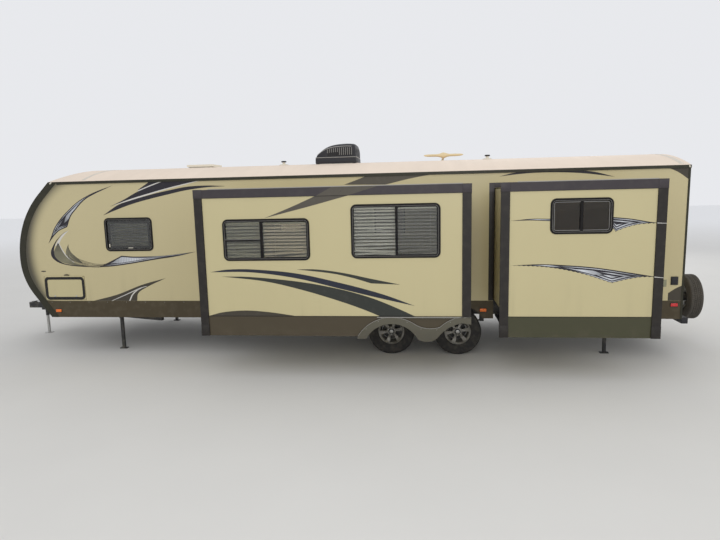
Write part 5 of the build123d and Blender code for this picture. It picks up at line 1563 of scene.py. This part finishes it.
@dataclass
class Fender:
    """Rolled edge, top rails and screws of the wavy fender over the wheels, and a pale painted highlight along its
    upper edge.

    A rail is given by how far its front and back lie behind the fender's face, its height, its edges' radius and
    its mark.
    """

    node: str = "slide_1_valance"
    body: str = "slide_1_room"
    slot: str = "skirt"
    bead: float = 0.0045
    light: float = 0.0065
    rails: tuple = ((0.001, 0.016, 0.018, 0.003, 0), (0.0, 0.008, 0.010, 0.002, 1))
    rail_start: float = -0.62
    screw_pitch: float = 0.20
    screw_inset: float = 0.018
    head: float = 0.0020

    def panel(self) -> float:
        """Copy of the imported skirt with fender: points on its front move back by the height of a screw's head.

        Returns:
            Place of the new front.
        """
        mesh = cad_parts[self.node].data.copy()
        places = vertices(mesh)
        front = places[:, 1].min() + self.head
        places[:, 1] = np.maximum(places[:, 1], front)
        mesh.vertices.foreach_set("co", places.ravel())
        work = welded(mesh)
        work.to_mesh(mesh)
        work.free()
        hang(placed("fender_panel", mesh), self.body, (self.node,))
        return float(front - ORIGIN[1])

    def outline(self) -> np.ndarray:
        """Border of the faces of the fender's front.

        Returns:
            Loop of points of x and z, from the foremost one.
        """
        mesh = welded(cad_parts[self.node].data)
        front = min(v.co.y for v in mesh.verts)
        faces = {f for f in mesh.faces if all(v.co.y < front + 1e-4 for v in f.verts)}
        border = {loop.vert: loop.link_loop_next.vert for face in faces for loop in face.loops
                  if sum(other in faces for other in loop.edge.link_faces) == 1}
        start = min(border, key=lambda v: (round(v.co.x, 4), round(v.co.z, 4)))
        points, vertex = [start.co[:]], border[start]
        while vertex is not start:
            points.append(vertex.co[:])
            vertex = border[vertex]
        mesh.free()
        return (np.array(points) - ORIGIN)[:, [0, 2]]

    def dress(self) -> None:
        """Lay the bead along the outline, then the rail, a pale bead of painted highlight on the upper edge, and the
        screws.
        """
        loop, face, box = self.outline(), self.panel(), Box.of(self.node)
        form = Form()
        form.hoop(loop, face + self.bead, oval(8, self.bead))
        for front, depth, height, radius, mark in self.rails:
            form.block((self.rail_start, face + front, box.z1 - height), (box.x1 - 0.002, face + depth, box.z1),
                       radius, mark)
        for x in np.arange(self.rail_start + 0.06, box.x1 - 0.03, self.screw_pitch * 1.35):
            form.screw((x, face + 0.0005, box.z1 - self.rails[0][2] / 2), -1.0, 0.006, 1)
        # painted highlight: a pale grey bead follows only the fender's upper edge, where light falls
        after = np.roll(loop, -1, axis=0)
        sense = np.sign(np.sum(loop[:, 0] * after[:, 1] - after[:, 0] * loop[:, 1]))
        run = after - np.roll(loop, 1, axis=0)
        upper = (run[:, 0] * sense < -0.2 * np.linalg.norm(run, axis=1)) & (loop[:, 1] < box.z1 - 0.004)
        first = int(np.flatnonzero(upper & ~np.roll(upper, 1))[0])
        chain = np.roll(loop, -first, axis=0)[:int(upper.sum())]
        form.sweep(np.insert(chain, 1, face + self.light, axis=-1), oval(6, self.light), UP_Y, mark=1)
        for x, z in self.screws(np.concatenate([loop, loop[:1]]), sense, box.z1 - 0.03):
            form.screw((x, face, z), -1.0, 0.005, 1)
        form.build("fender_edge", self.body, self.slot, [Shade.FENDER, Shade.GREY])

    def screws(self, loop: np.ndarray, sense: float, top: float) -> np.ndarray:
        """Places of screws: evenly along the upper edge, and inwards from it by the direction turned square.

        Args:
            loop: Closed outline, its last point like its first.
            sense: 1 or -1 by the way that the outline runs.
            top: Height that they stay below.

        Returns:
            Points of x and z.
        """
        length = reach_along(loop)
        reach = np.arange(0.1, length[-1], self.screw_pitch)
        here, ahead = (np.stack([np.interp(reach + step, length, loop[:, k]) for k in (0, 1)], axis=-1)
                       for step in (0.0, 0.01))
        run = (ahead - here) / np.maximum(np.linalg.norm(ahead - here, axis=1, keepdims=True), 1e-9)
        inward = run[:, ::-1] * [-1, 1] * sense
        place = here + inward * self.screw_inset
        return place[(inward[:, 1] < -0.4) & (place[:, 1] < top)]


@dataclass
class Cooler:
    """Roof cooler: arched shroud on a base pan, with upright louvres and a rear grille."""

    arch: tuple = ((0.0, 0.02), (0.04, 0.28), (0.22, 0.70), (0.42, 0.92), (0.70, 1.0), (0.93, 0.97), (0.975, 0.90),
                   (1.0, 0.60))
    pan_height: float = 0.105
    louvres: int = 13
    louvre_span: tuple = (0.30, 0.90)
    bars: int = 7
    bulge: float = 0.42
    brow: float = 0.57
    top: float = 0.42
    rib: tuple = (0.0040, 0.0035)
    slot: tuple = (0.0014, 0.0135)
    line: float = 0.0065

    def __post_init__(self) -> None:
        """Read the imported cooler's box and work out the arch."""
        self.box = Box.of("ac_unit")
        self.shoulder = self.box.z0 + self.pan_height
        self.curve = curve(self.arch, 40)

    def skin(self, along: np.ndarray, turn: np.ndarray) -> np.ndarray:
        """Point of the shroud: across it a power of the cosine, and up to the arch a power of the sine, of turn.

        Args:
            along: Shares of its length.
            turn: Angle from the road side's foot over the top to the door side's.

        Returns:
            Array of points, along by turn.
        """
        box = self.box
        along, turn = np.atleast_1d(along)[:, None], np.atleast_1d(turn)[None]
        width = (box.size[1] / 2 - 0.006) * (0.86 + 0.14 * np.minimum(1.0, along * 4.0))
        rise = (box.z1 - 0.002 - self.shoulder) * np.interp(along, *self.curve.T)
        return np.stack(np.broadcast_arrays(
            box.x0 + 0.004 + along * (box.size[0] - 0.010), -width * squared(np.cos(turn), self.bulge),
            self.shoulder + rise * np.sin(turn) ** self.bulge), axis=-1)

    def dress(self) -> None:
        """Make the cooler in place of its node."""
        box, form = self.box, Form()
        over = self.skin(self.curve[:, 0], np.linspace(0, math.pi, 33))
        foot = over[:, :1] + (over[:, -1:] - over[:, :1]) * np.linspace(1, 0, 11)[None, 1:-1, None] - [0, 0, 0.01]
        form.shell(np.concatenate([over, foot], axis=1))
        form.block(box.low, (box.x1, box.y1, self.shoulder), 0.020)
        thin = oval(6, self.line)
        form.sweep(np.insert(box.loop(0.004, 0.03, 5, 1), 2, self.shoulder, axis=-1), thin, UP_Z, True, 1)
        for base in (0.0, math.pi):
            form.sweep(self.skin(np.linspace(0.03, 0.90, 30), abs(base - self.brow))[:, 0], thin, UP_Y, mark=1)
            self.side(form, base)
        for z in self.shoulder + 0.02 + np.arange(self.bars) * 0.018:
            form.block((box.x1 - 0.016, box.y0 + 0.07, z), (box.x1 - 0.001, box.y1 - 0.07, z + 0.008))
        form.build("cooler_shroud", "trailer", "black_plastic", [Shade.BLACK, Shade.GREY, Shade.RUBBER],
                   ("ac_unit",))

    def side(self, form: Form, base: float) -> None:
        """Ribs up one side of the shroud and dark slots between them.

        Args:
            form: Form that takes them.
            base: Turn of that side's foot.
        """
        flat = np.array([(-1, -1), (1, -1), (1, 1), (-1, 1)])
        places, pitch = np.linspace(*self.louvre_span, self.louvres, retstep=True)
        for k, share in enumerate(places):
            low = 0.012 if share > 0.55 else 0.10
            for place, start, size, mark in ((share, low, self.rib, 1), (share - pitch / 2, 0.004, self.slot, 2)):
                if mark == 1 or k:
                    up = abs(base - np.linspace(start, self.top, 12))
                    form.sweep(self.skin(place, up)[0], flat * size, UP_X, mark=mark)


@dataclass
class RoofGear:
    """Sealant, pipe caps, seams and gutter spouts on the roof."""

    seams: tuple = (-5.30, 3.55)
    seam_half: float = 1.17
    bead: float = 0.007
    grow: float = 0.012
    spouts: tuple = (-5.80, 3.62)
    strip: tuple = ((0.03, -0.0005), (0.03, 0.0012), (0.026, 0.003), (-0.026, 0.003), (-0.03, 0.0012),
                    (-0.03, -0.0005))

    def __post_init__(self) -> None:
        """Read the roof's surface once."""
        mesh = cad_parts["roof"].data
        self.tree = BVHTree.FromPolygons([v.co for v in mesh.vertices], [p.vertices[:] for p in mesh.polygons])

    def height(self, x: float, y: float) -> float:
        """Height of the roof's top at a place."""
        hit = self.tree.ray_cast((x + ORIGIN[0], y + ORIGIN[1], 5.0), (0, 0, -1))[0]
        return hit[2] if hit else WALL_TOP

    def on_roof(self, loop: np.ndarray, lift: float) -> np.ndarray:
        """Points of x and y, laid on the roof."""
        return np.array([(x, y, self.height(x, y) + lift) for x, y in loop])

    def dress(self) -> None:
        """Lay sealant and seams, and add caps, spouts and the antenna."""
        form, caps = Form(), Form()
        fittings = Box.solids("roof_fittings")
        for box in (Box.solids("ac_unit")[0], *fittings):
            loop = box.loop(-self.grow, min(box.size[:2]) * 0.25, 6, 1)
            form.sweep(self.on_roof(loop, 0.001), oval(7, self.bead, 0.6 * self.bead), UP_Z, True)
        for x in self.seams:
            across = np.stack([np.full(41, x), np.linspace(-self.seam_half, self.seam_half, 41)], axis=-1)
            form.sweep(self.on_roof(across, 0.0), np.array(self.strip), UP_Z)
        form.build("roof_sealant", "trailer", "roof_skin", [Shade.SEALANT])
        for box in (box for box in fittings if box.size[0] < 0.12):
            caps.lathe([(0.030, box.z1 - 0.018), (0.042, box.z1 - 0.016), (0.043, box.z1 - 0.002),
                        (0.036, box.z1 + 0.004), (0.012, box.z1 + 0.006)], (*box.centre[:2], 0), 2, 24, 1)
        for x in self.spouts:
            for y, out in ((ROAD_Y - 0.006, -1), (DOOR_Y + 0.006, 1)):
                caps.tube([(x, y + out * reach, WALL_TOP - drop) for reach, drop in
                           ((-0.004, 0.012), (0.012, 0.016), (0.030, 0.028))], 0.010, UP_X, 8)
        caps.build("roof_caps", "trailer", "cream_plastic", [Shade.CREAM, Shade.BLACK])
        self.antenna()

    def antenna(self) -> None:
        """Winged head of the antenna: rings along its span, a power curve round each, thick and deep in the middle
        and thin at both tips."""
        box = Box.of("antenna_head")
        middle, half = box.centre, box.size / 2
        share = np.sin(np.linspace(-math.pi / 2, math.pi / 2, 33))[:, None]
        across, rise = oval(24, 1.0).T
        tip = np.sqrt(np.maximum(1 - share ** 8, 0.0))
        deep = half[1] * (0.42 + 0.58 * (1 - share ** 2)) * tip
        tall = half[2] * (0.42 + 0.58 * np.exp(-(share / 0.17) ** 2)) * tip
        y = middle[1] - (half[1] - deep) * 0.9 + deep * squared(across, 0.7)
        z = middle[2] + tall * squared(rise, 0.8)
        form = Form()
        form.shell(np.stack(np.broadcast_arrays(middle[0] + half[0] * share, y, z), axis=-1))
        form.build("antenna_wing", "antenna_head_body", "cream_plastic", [Shade.AGED], ("antenna_head",))


@dataclass
class Lamps:
    """Side markers and tail lamps: a base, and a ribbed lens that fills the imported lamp's box."""

    tall: float = 0.1
    rear_from: float = 3.0
    ribs: int = 5
    inset: float = 0.006

    def dress(self) -> None:
        """Make all lamps as one piece; the tall ones are tail lamps."""
        form = Form()
        for box in Box.solids("lamps"):
            (self.tail if box.size[2] > self.tall else self.marker)(form, box)
        form.build("lamp_lenses", "trailer", "lamp_lens", [Shade.RUBBER, Shade.AMBER, Shade.RED, Shade.WHITE],
                   ("lamps",))

    def marker(self, form: Form, box: Box) -> None:
        """Small marker lamp on a side wall, red at the rear.

        Args:
            form: Form that takes it.
            box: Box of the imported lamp.
        """
        out, wall, face, inset = box.out, box.back, box.face, self.inset
        mark = 2 if box.x0 > self.rear_from else 1
        form.block((box.x0, wall, box.z0), (box.x1, wall + out * 0.006, box.z1), 0.004)
        form.block((box.x0 + inset, wall + out * 0.003, box.z0 + inset),
                   (box.x1 - inset, face - out * 0.002, box.z1 - inset), 0.005, mark)
        pitch = (box.size[0] - 4 * inset) / self.ribs
        for k in range(self.ribs):
            x = box.x0 + 2 * inset + pitch * (k + 0.5)
            form.block((x - pitch * 0.22, wall + out * 0.008, box.z0 + 0.012),
                       (x + pitch * 0.22, face, box.z1 - 0.012), 0.0015, mark)

    def tail(self, form: Form, box: Box) -> None:
        """Tail lamp on the rear wall: two red fields and a clear one.

        Args:
            form: Form that takes it.
            box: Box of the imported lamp.
        """
        form.block(box.low, (box.x0 + 0.012, box.y1, box.z1), 0.005)
        step = (box.size[1] - 0.02) / 3
        for k, mark in enumerate((2, 3, 2)):
            y = box.y0 + 0.01 + step * k
            form.block((box.x0 + 0.006, y + 0.003, box.z0 + 0.012),
                       (box.x1 - 0.003, y + step - 0.003, box.z1 - 0.012), 0.006, mark)
            for z in np.linspace(box.z0 + 0.03, box.z1 - 0.03, 6):
                form.block((box.x1 - 0.006, y + 0.010, z - 0.004), (box.x1, y + step - 0.010, z + 0.004),
                           0.002, mark)


@dataclass
class Hatches:
    """Frames, catches and locks of the baggage doors, the lid of the power inlet, and small fittings of the wall.

    The panel and the keeper are given by their sides along x and z, the catch by its sides along x and its foot.
    """

    ring: float = 0.044
    ring_lift: float = 0.005
    catch: tuple = (-5.740, -5.650, 1.262)
    panel: tuple = (3.345, 3.416, 1.046, 1.150)
    keeper: tuple = (-6.125, -6.050, 1.324, 1.340)

    def dress(self) -> None:
        """Dress both baggage doors and the service fittings."""
        self.door("baggage_door_road", ROAD_Y)
        self.door("baggage_door_near", DOOR_Y)
        self.inlet()
        x0, x1, z0, z1 = self.keeper
        form = Form()
        form.block((x0, ROAD_Y - 0.005, z0), (x1, ROAD_Y + 0.002, z1), 0.004)
        form.block((x0 + 0.015, ROAD_Y - 0.009, z0 + 0.004), (x1 - 0.015, ROAD_Y - 0.002, z1 - 0.004))
        form.build("wall_keeper", "trailer", "dark_trim", [Shade.BLACK])

    def door(self, node: str, wall: float) -> None:
        """Black frame and locks of one baggage door, and the catch above it; the frame's width takes in painted
        shade along it.

        Args:
            node: Its node.
            wall: Place of the wall's surface.
        """
        box, half, lift, ring = Box.of(node), self.ring / 2, self.ring_lift, self.ring
        out, top = box.out, box.z1 - 0.012
        section = np.array([(half, -0.001), (half, lift * 0.6), (half * 0.8, lift), (-half * 0.8, lift),
                            (-half, lift * 0.6), (-half, -0.001)]) * [1, out]
        form = Form()
        # frame ring: partly the black frame itself, partly painted shade that widens it
        form.hoop(rounded_loop(box.x0 + half, box.x1 - half, box.z0 + half, top - half, 0.045, 7), wall, section)
        form.hoop(rounded_loop(box.x0 + ring, box.x1 - ring, box.z0 + ring, top - ring, 0.03),
                  wall + out * 0.001, oval(6, 0.003))
        for x in (box.x0 + 0.16, box.x1 - 0.16):
            form.lathe([(0.013, 0.0), (0.013, 0.004 * out), (0.009, 0.007 * out), (0.003, 0.0075 * out)],
                       (x, wall, box.z0 + 0.06), 1, 18, 1)
        form.build(node + "_frame", node + "_body", "dark_trim", [Shade.RUBBER, Shade.ZINC])
        clip = Form()
        x0, x1, z = self.catch
        clip.block((x0, wall, z), (x1, wall + out * 0.008, z + 0.014))
        clip.block((x0 + 0.025, wall + out * 0.004, z + 0.006), (x1 - 0.025, wall + out * 0.014, z + 0.020), 0.004)
        clip.build(node + "_catch", "trailer", "dark_trim", [Shade.RUBBER])

    def inlet(self) -> None:
        """Hinged lid over the power inlet, and a small blank panel beside it."""
        box = Box.solids("service_fittings")[1]
        form = Form()
        form.block((box.x0 + 0.006, box.y0 - 0.010, box.z0 + 0.012),
                   (box.x1 - 0.006, box.y0 + 0.002, box.z1 - 0.010), 0.008)
        form.hoop(box.centre[[0, 2]] + oval(24, 0.028), box.y0 - 0.0095, oval(6, 0.003))
        form.tube([(x, box.y0 - 0.004, box.z1 - 0.008) for x in (box.x0 + 0.012, box.x1 - 0.012)], 0.005, UP_Y)
        x0, x1, z0, z1 = self.panel
        form.block((x0, ROAD_Y - 0.003, z0), (x1, ROAD_Y + 0.002, z1), mark=1)
        for z in (z0 + 0.01, z1 - 0.01):
            form.screw(((x0 + x1) / 2, ROAD_Y - 0.003, z), -1.0, 0.004)
        form.build("inlet_lid", "trailer", "black_plastic", [Shade.BLACK, Shade.KHAKI])


@dataclass
class DoorSide:
    """Entry door fittings, grab tube, porch lamp and awning roll on the door side."""

    handle_z: float = 1.62
    roll_radius: float = 0.052

    def dress(self) -> None:
        """Dress the door side."""
        self.door()
        self.grab()
        self.awning()

    def door(self) -> None:
        """Frame, window ring, lock and paddle of the entry door, and the porch lamp beside it."""
        box, glass, face = Box.of("entry_door"), Box.of("entry_door_glass"), DOOR_Y
        form = Form()
        rim = rounded_loop(box.x0 + 0.018, box.x1 - 0.012, box.z0 + 0.012, box.z1 - 0.012, 0.05, 7)
        form.hoop(rim, face + 0.001, oval(8, 0.010, 0.006))
        for grow, size in ((0.020, 0.008), (0.004, 0.005)):
            form.hoop(glass.loop(-grow, 0.035, 7), face, oval(8, size), 1)
        x, z = box.x1 - 0.075, self.handle_z
        form.block((x - 0.05, face - 0.001, z - 0.075), (x + 0.05, face + 0.010, z + 0.075), 0.008, 1)
        form.block((x - 0.035, face + 0.006, z - 0.02), (x + 0.036, face + 0.030, z + 0.012), 0.008, 2)
        form.lathe([(0.012, 0.006), (0.012, 0.014), (0.008, 0.017)], (x, face, z + 0.045), 1, 18, 3)
        form.lathe([(0.020, 0.0), (0.020, 0.010), (0.013, 0.016)], (x, face, z + 0.16), 1, 20, 3)
        form.build("entry_door_fittings", "entry_door_leaf", "door_skin",
                   [Shade.GREY, Shade.RUBBER, Shade.BLACK, Shade.ZINC])
        lamp = Form()
        lamp.block((box.x1 + 0.16, face - 0.001, 2.30), (box.x1 + 0.34, face + 0.012, 2.38), 0.006)
        lamp.block((box.x1 + 0.168, face + 0.006, 2.308), (box.x1 + 0.332, face + 0.040, 2.372), 0.016, 1)
        lamp.build("porch_lamp", "trailer", "lamp_lens", [Shade.BLACK, Shade.WHITE])

    def grab(self) -> None:
        """Round grab tube on two turned feet, in place of its node."""
        box = Box.of("grab_handle")
        x, wall, reach = box.centre[0], box.y0, box.y1 - 0.012
        z0, z1 = box.z0 + 0.012, box.z1 - 0.012
        path = curve([(x, wall, z0), (x, reach - 0.02, z0 + 0.004), (x, reach, z0 + 0.03),
                      (x, reach, z0 + 0.08), (x, reach, z1 - 0.08), (x, reach, z1 - 0.03),
                      (x, reach - 0.02, z1 - 0.004), (x, wall, z1)], 41)
        form = Form()
        form.tube(path, 0.0115, UP_X, 14)
        for z in (z0, z1):
            form.lathe([(0.024, 0.0), (0.024, 0.004), (0.016, 0.009), (0.012, 0.014)], (x, wall, z), 1, 20)
        form.build("grab_tube", "trailer", "black_plastic", [Shade.BLACK], ("grab_handle",))

    def awning(self) -> None:
        """Cloth wound on the awning's roller, its radius waved by two sines, and the roller's end caps."""
        box, radius = Box.of("awning"), self.roll_radius
        axis = (0, box.y1 - radius, box.z1 - radius)
        places = np.linspace(box.x0 + 0.09, box.x1 - 0.09, 61)
        swell = 0.0009 * np.sin(places * 2.1) + 0.0006 * np.sin(places * 7.3)
        form = Form()
        form.lathe(np.stack([radius + 0.0012 + swell, places], axis=-1), axis, 0, 40)
        for x, out in ((box.x0 + 0.075, -1), (box.x1 - 0.075, 1)):
            form.lathe([(radius - 0.004, x - out * 0.03), (radius + 0.003, x - out * 0.02), (radius + 0.003, x),
                        (radius - 0.006, x + out * 0.012), (0.014, x + out * 0.016)], axis, 0, 32, 1)
        form.build("awning_roll", "trailer", "awning_cloth", [Shade.CLOTH, Shade.BLACK])


@dataclass
class Tongue:
    """Coupler latch, jack crank, valves and hold-down of the gas cylinders."""

    clamp_height: float = 0.425

    def dress(self) -> None:
        """Dress the tongue."""
        self.coupler()
        self.jack()
        self.gas()

    def coupler(self) -> None:
        """Latch block, its lever and its pin."""
        box = Box.of("coupler")
        form = Form()
        form.block((box.x0 + 0.055, -0.016, box.z1 - 0.004), (box.x0 + 0.150, 0.016, box.z1 + 0.018), 0.006)
        lever = [(box.x0 + x, 0, box.z1 + z)
                 for x, z in ((0.10, 0.014), (0.15, 0.030), (0.215, 0.034), (0.235, 0.040))]
        form.sweep(lever, oval(10, 0.004, 0.014), UP_Y)
        form.lathe([(0.007, -0.026), (0.007, 0.026)], (box.x0 + 0.085, 0, box.z1 + 0.006), 1, 12, 1)
        form.build("coupler_latch", "trailer", "frame_steel", [Shade.STEEL, Shade.ZINC])

    def jack(self) -> None:
        """Crank and knob on the jack's gear head."""
        box = Box.of("jack_tube")
        x, z = box.centre[0] - 0.01, box.z1 - 0.045
        form = Form()
        path = curve([(x, y, z + rise) for y, rise in ((0.050, 0.0), (0.095, 0.0), (0.112, 0.012), (0.118, 0.05),
                                                       (0.124, 0.14), (0.140, 0.155), (0.175, 0.156))], 33)
        form.tube(path, 0.0065, UP_X)
        form.lathe([(0.010, 0.165), (0.014, 0.172), (0.015, 0.205), (0.010, 0.245), (0.004, 0.250)],
                   (x, 0, z + 0.156), 1, 16, 1)
        form.lathe([(0.022, 0.050), (0.022, 0.062), (0.014, 0.068)], (x, 0, z), 1, 18)
        form.build("jack_crank", "trailer", "zinc", [Shade.ZINC, Shade.BLACK])

    def gas(self) -> None:
        """Valve, hand wheel and weld seam of each gas cylinder, and the hold-down between them."""
        form = Form()
        for box in Box.solids("gas_cylinders"):
            radius, top = box.size[0] / 2, box.z1
            at = (*box.centre[:2], 0)
            seam = box.z0 + box.size[2] * 0.40
            form.lathe([(radius - 0.002, seam - 0.005), (radius + 0.0015, seam), (radius - 0.002, seam + 0.005)],
                       at, 2, closed=True)
            form.lathe([(0.016, top - 0.08), (0.016, top - 0.045), (0.010, top - 0.040), (0.010, top - 0.020)],
                       at, 2, 16, 1)
            form.lathe([(0.022, top - 0.022), (0.025, top - 0.016), (0.022, top - 0.008)], at, 2, 12, 2)
        both = Box.of("gas_cylinders")
        x, foot, clamp = both.centre[0], both.z0, both.z0 + self.clamp_height
        form.lathe([(0.006, foot), (0.006, foot + 0.46)], (x, 0, 0), 2, 10, 3)
        form.block((x - 0.02, -0.11, clamp), (x + 0.02, 0.11, clamp + 0.010), mark=3)
        form.lathe([(0.016, clamp + 0.011), (0.016, clamp + 0.020), (0.009, clamp + 0.027)], (x, 0, 0), 2, 6, 3)
        form.build("cylinder_fittings", "trailer", "white_paint",
                   [Shade.GAS, Shade.BRASS, Shade.BLACK, Shade.ZINC])


@dataclass
class RearGear:
    """Bumper caps and the spare wheel's clamp."""

    cap: float = 0.088

    def dress(self) -> None:
        """Dress the rear."""
        bumper, spare = Box.of("bumper"), Box.of("spare_rim").centre
        form = Form()
        for side, out in ((bumper.y0, -1), (bumper.y1, 1)):
            form.block((bumper.x0 - 0.004, side - out * 0.012, bumper.z0 - 0.002),
                       (bumper.x0 + self.cap, side + out * 0.004, bumper.z0 + self.cap), 0.010)
        form.lathe([(0.045, spare[0] - 0.020), (0.045, spare[0] - 0.012), (0.018, spare[0] - 0.008)],
                   (0, *spare[1:]), 0, 24, 1)
        form.build("bumper_caps", "trailer", "black_plastic", [Shade.BLACK, Shade.ZINC])


@dataclass
class Underside:
    """Axle clamps under the springs, and screws along the skirts."""

    bolts: tuple = ((-0.045, -0.024), (-0.045, 0.024), (0.045, -0.024), (0.045, 0.024))
    bolt_span: tuple = (0.29, 0.47)
    plate_span: tuple = (0.310, 0.318)
    spring_half: float = 0.030
    skirt_runs: tuple = ((-6.0, -3.12), (0.66, 0.88), (3.0, 3.60))
    screw_pitch: float = 0.32

    def dress(self) -> None:
        """Add the clamps and the screws."""
        form = Form()
        springs, (low, high) = Box.of("leaf_springs"), self.plate_span
        for x in (-AXLE[0], AXLE[0]):
            for y in (springs.y0 + self.spring_half, springs.y1 - self.spring_half):
                for dx, dy in self.bolts:
                    form.lathe([(0.006, z) for z in self.bolt_span], (x + dx, y + dy, 0), 2, 8)
                    form.lathe([(0.011, low - 0.010), (0.011, low)], (x + dx, y + dy, 0), 2, 6)
                form.block((x - 0.06, y - 0.036, low), (x + 0.06, y + 0.036, high))
        form.build("axle_clamps", "trailer", "zinc", [Shade.ZINC])
        heads = Form()
        level = Box.of("skirts").z1 - 0.022
        for y, out in ((ROAD_Y, -1.0), (DOOR_Y, 1.0)):
            for start, end in self.skirt_runs:
                for x in np.arange(start, end, self.screw_pitch):
                    heads.screw((x, y, level), out, 0.005)
        heads.build("skirt_screws", "trailer", "skirt", [Shade.GREY])


@dataclass
class Studio:
    """Floor, light and camera. A lamp is given by its name, its place, what it looks at, its side and its power."""

    eye: tuple = (-0.0258, -8.0034, 2.4723)
    turn: tuple = (-0.1155, 0.1423, -0.0234)
    focal_pixels: float = 541.0
    picture_width: float = 720.0
    sensor: float = 36.0
    sky: tuple = (0.84, 0.85, 0.88, 1.0)
    sky_strength: float = 0.96
    floor_half: float = 60.0
    lamps: tuple = (("key", (-2.5, -12.5, 9.0), (0.0, -1.5, 1.3), 7.0, 190.0),
                    ("front", (0.9, -14.0, 5.4), (0.7, -1.2, 1.5), 4.0, 190.0),
                    ("fill", (9.0, -10.0, 6.5), (1.0, -1.5, 1.3), 7.0, 100.0),
                    ("top", (0.0, 2.0, 12.0), (0.0, 0.0, 2.5), 10.0, 60.0),
                    ("back", (4.0, 12.0, 7.0), (0.0, 1.0, 1.5), 8.0, 300.0))

    def dress(self) -> None:
        """Set up camera, floor and light."""
        self.camera()
        self.floor()
        self.light()

    def aim(self, item: bpy.types.Object, *columns: np.ndarray) -> None:
        """Turn and place a lamp or camera.

        Args:
            item: The object.
            columns: Its right, its up, its back and its place in the caravan's own coordinates.
        """
        matrix = np.eye(4)
        matrix[:3] = np.stack(columns, axis=-1)
        matrix[:3, 3] += ORIGIN
        item.matrix_world = Matrix(matrix.tolist())

    def camera(self) -> None:
        """Camera where the photograph was taken: yaw, pitch and roll about the eye, measured from the wall."""
        yaw, pitch, roll = self.turn
        ahead = np.array([math.sin(yaw) * math.cos(pitch), math.cos(yaw) * math.cos(pitch), -math.sin(pitch)])
        right = np.array([math.cos(yaw), -math.sin(yaw), 0.0])
        up = np.cross(right, ahead)
        right, up = (right * math.cos(roll) + up * math.sin(roll), up * math.cos(roll) - right * math.sin(roll))
        data = bpy.data.cameras.new("camera")
        data.sensor_width = self.sensor
        data.lens = self.focal_pixels * self.sensor / self.picture_width
        data.clip_end = 200.0
        camera = placed("camera", data)
        self.aim(camera, right, up, -ahead, np.array(self.eye) + [0.0, ROAD_Y, 0.0])
        bpy.context.scene.camera = camera

    def floor(self) -> None:
        """Pale plain floor, a large flat grid."""
        span = np.linspace(-self.floor_half, self.floor_half, 3)
        x, y = np.meshgrid(span, span, indexing="ij")
        points = np.stack([x, y, np.full_like(x, -0.0005)], axis=-1).reshape(-1, 3)
        mesh = bpy.data.meshes.new("floor")
        mesh.from_pydata(points.tolist(), [], [(k, k + 3, k + 4, k + 1) for k in (0, 1, 3, 4)])
        mesh.materials.append(Shade.FLOOR.value.material())
        placed("floor", mesh)

    def light(self) -> None:
        """Even sky light and soft square lamps, on the plain view transform."""
        world = bpy.data.worlds.new("sky")
        world.use_nodes = True
        background = world.node_tree.nodes["Background"]
        background.inputs["Color"].default_value = self.sky
        background.inputs["Strength"].default_value = self.sky_strength
        bpy.context.scene.world = world
        for name, place, target, size, power in self.lamps:
            data = bpy.data.lights.new(name, "AREA")
            data.size, data.energy = size, power
            away = np.array(place) - target
            away /= np.linalg.norm(away)
            side = np.cross([0.0, 0.0, 1.0], away)
            side /= np.linalg.norm(side)
            self.aim(placed(name, data), side, np.cross(away, side), away, place)
        bpy.context.scene.view_settings.view_transform = "Standard"


def main() -> None:
    """Build every sub-assembly in order."""
    logging.basicConfig(level=logging.INFO, format="%(message)s")
    for part in (Studio(), Coachwork(), Graphics(), Windows(), Wheels(), RoomTrims(), Fender(), Cooler(), RoofGear(),
                 Lamps(), Hatches(), DoorSide(), Tongue(), RearGear(), Underside()):
        part.dress()
        LOG.info("%s dressed", type(part).__name__)


if __name__ == "__main__":
    main()
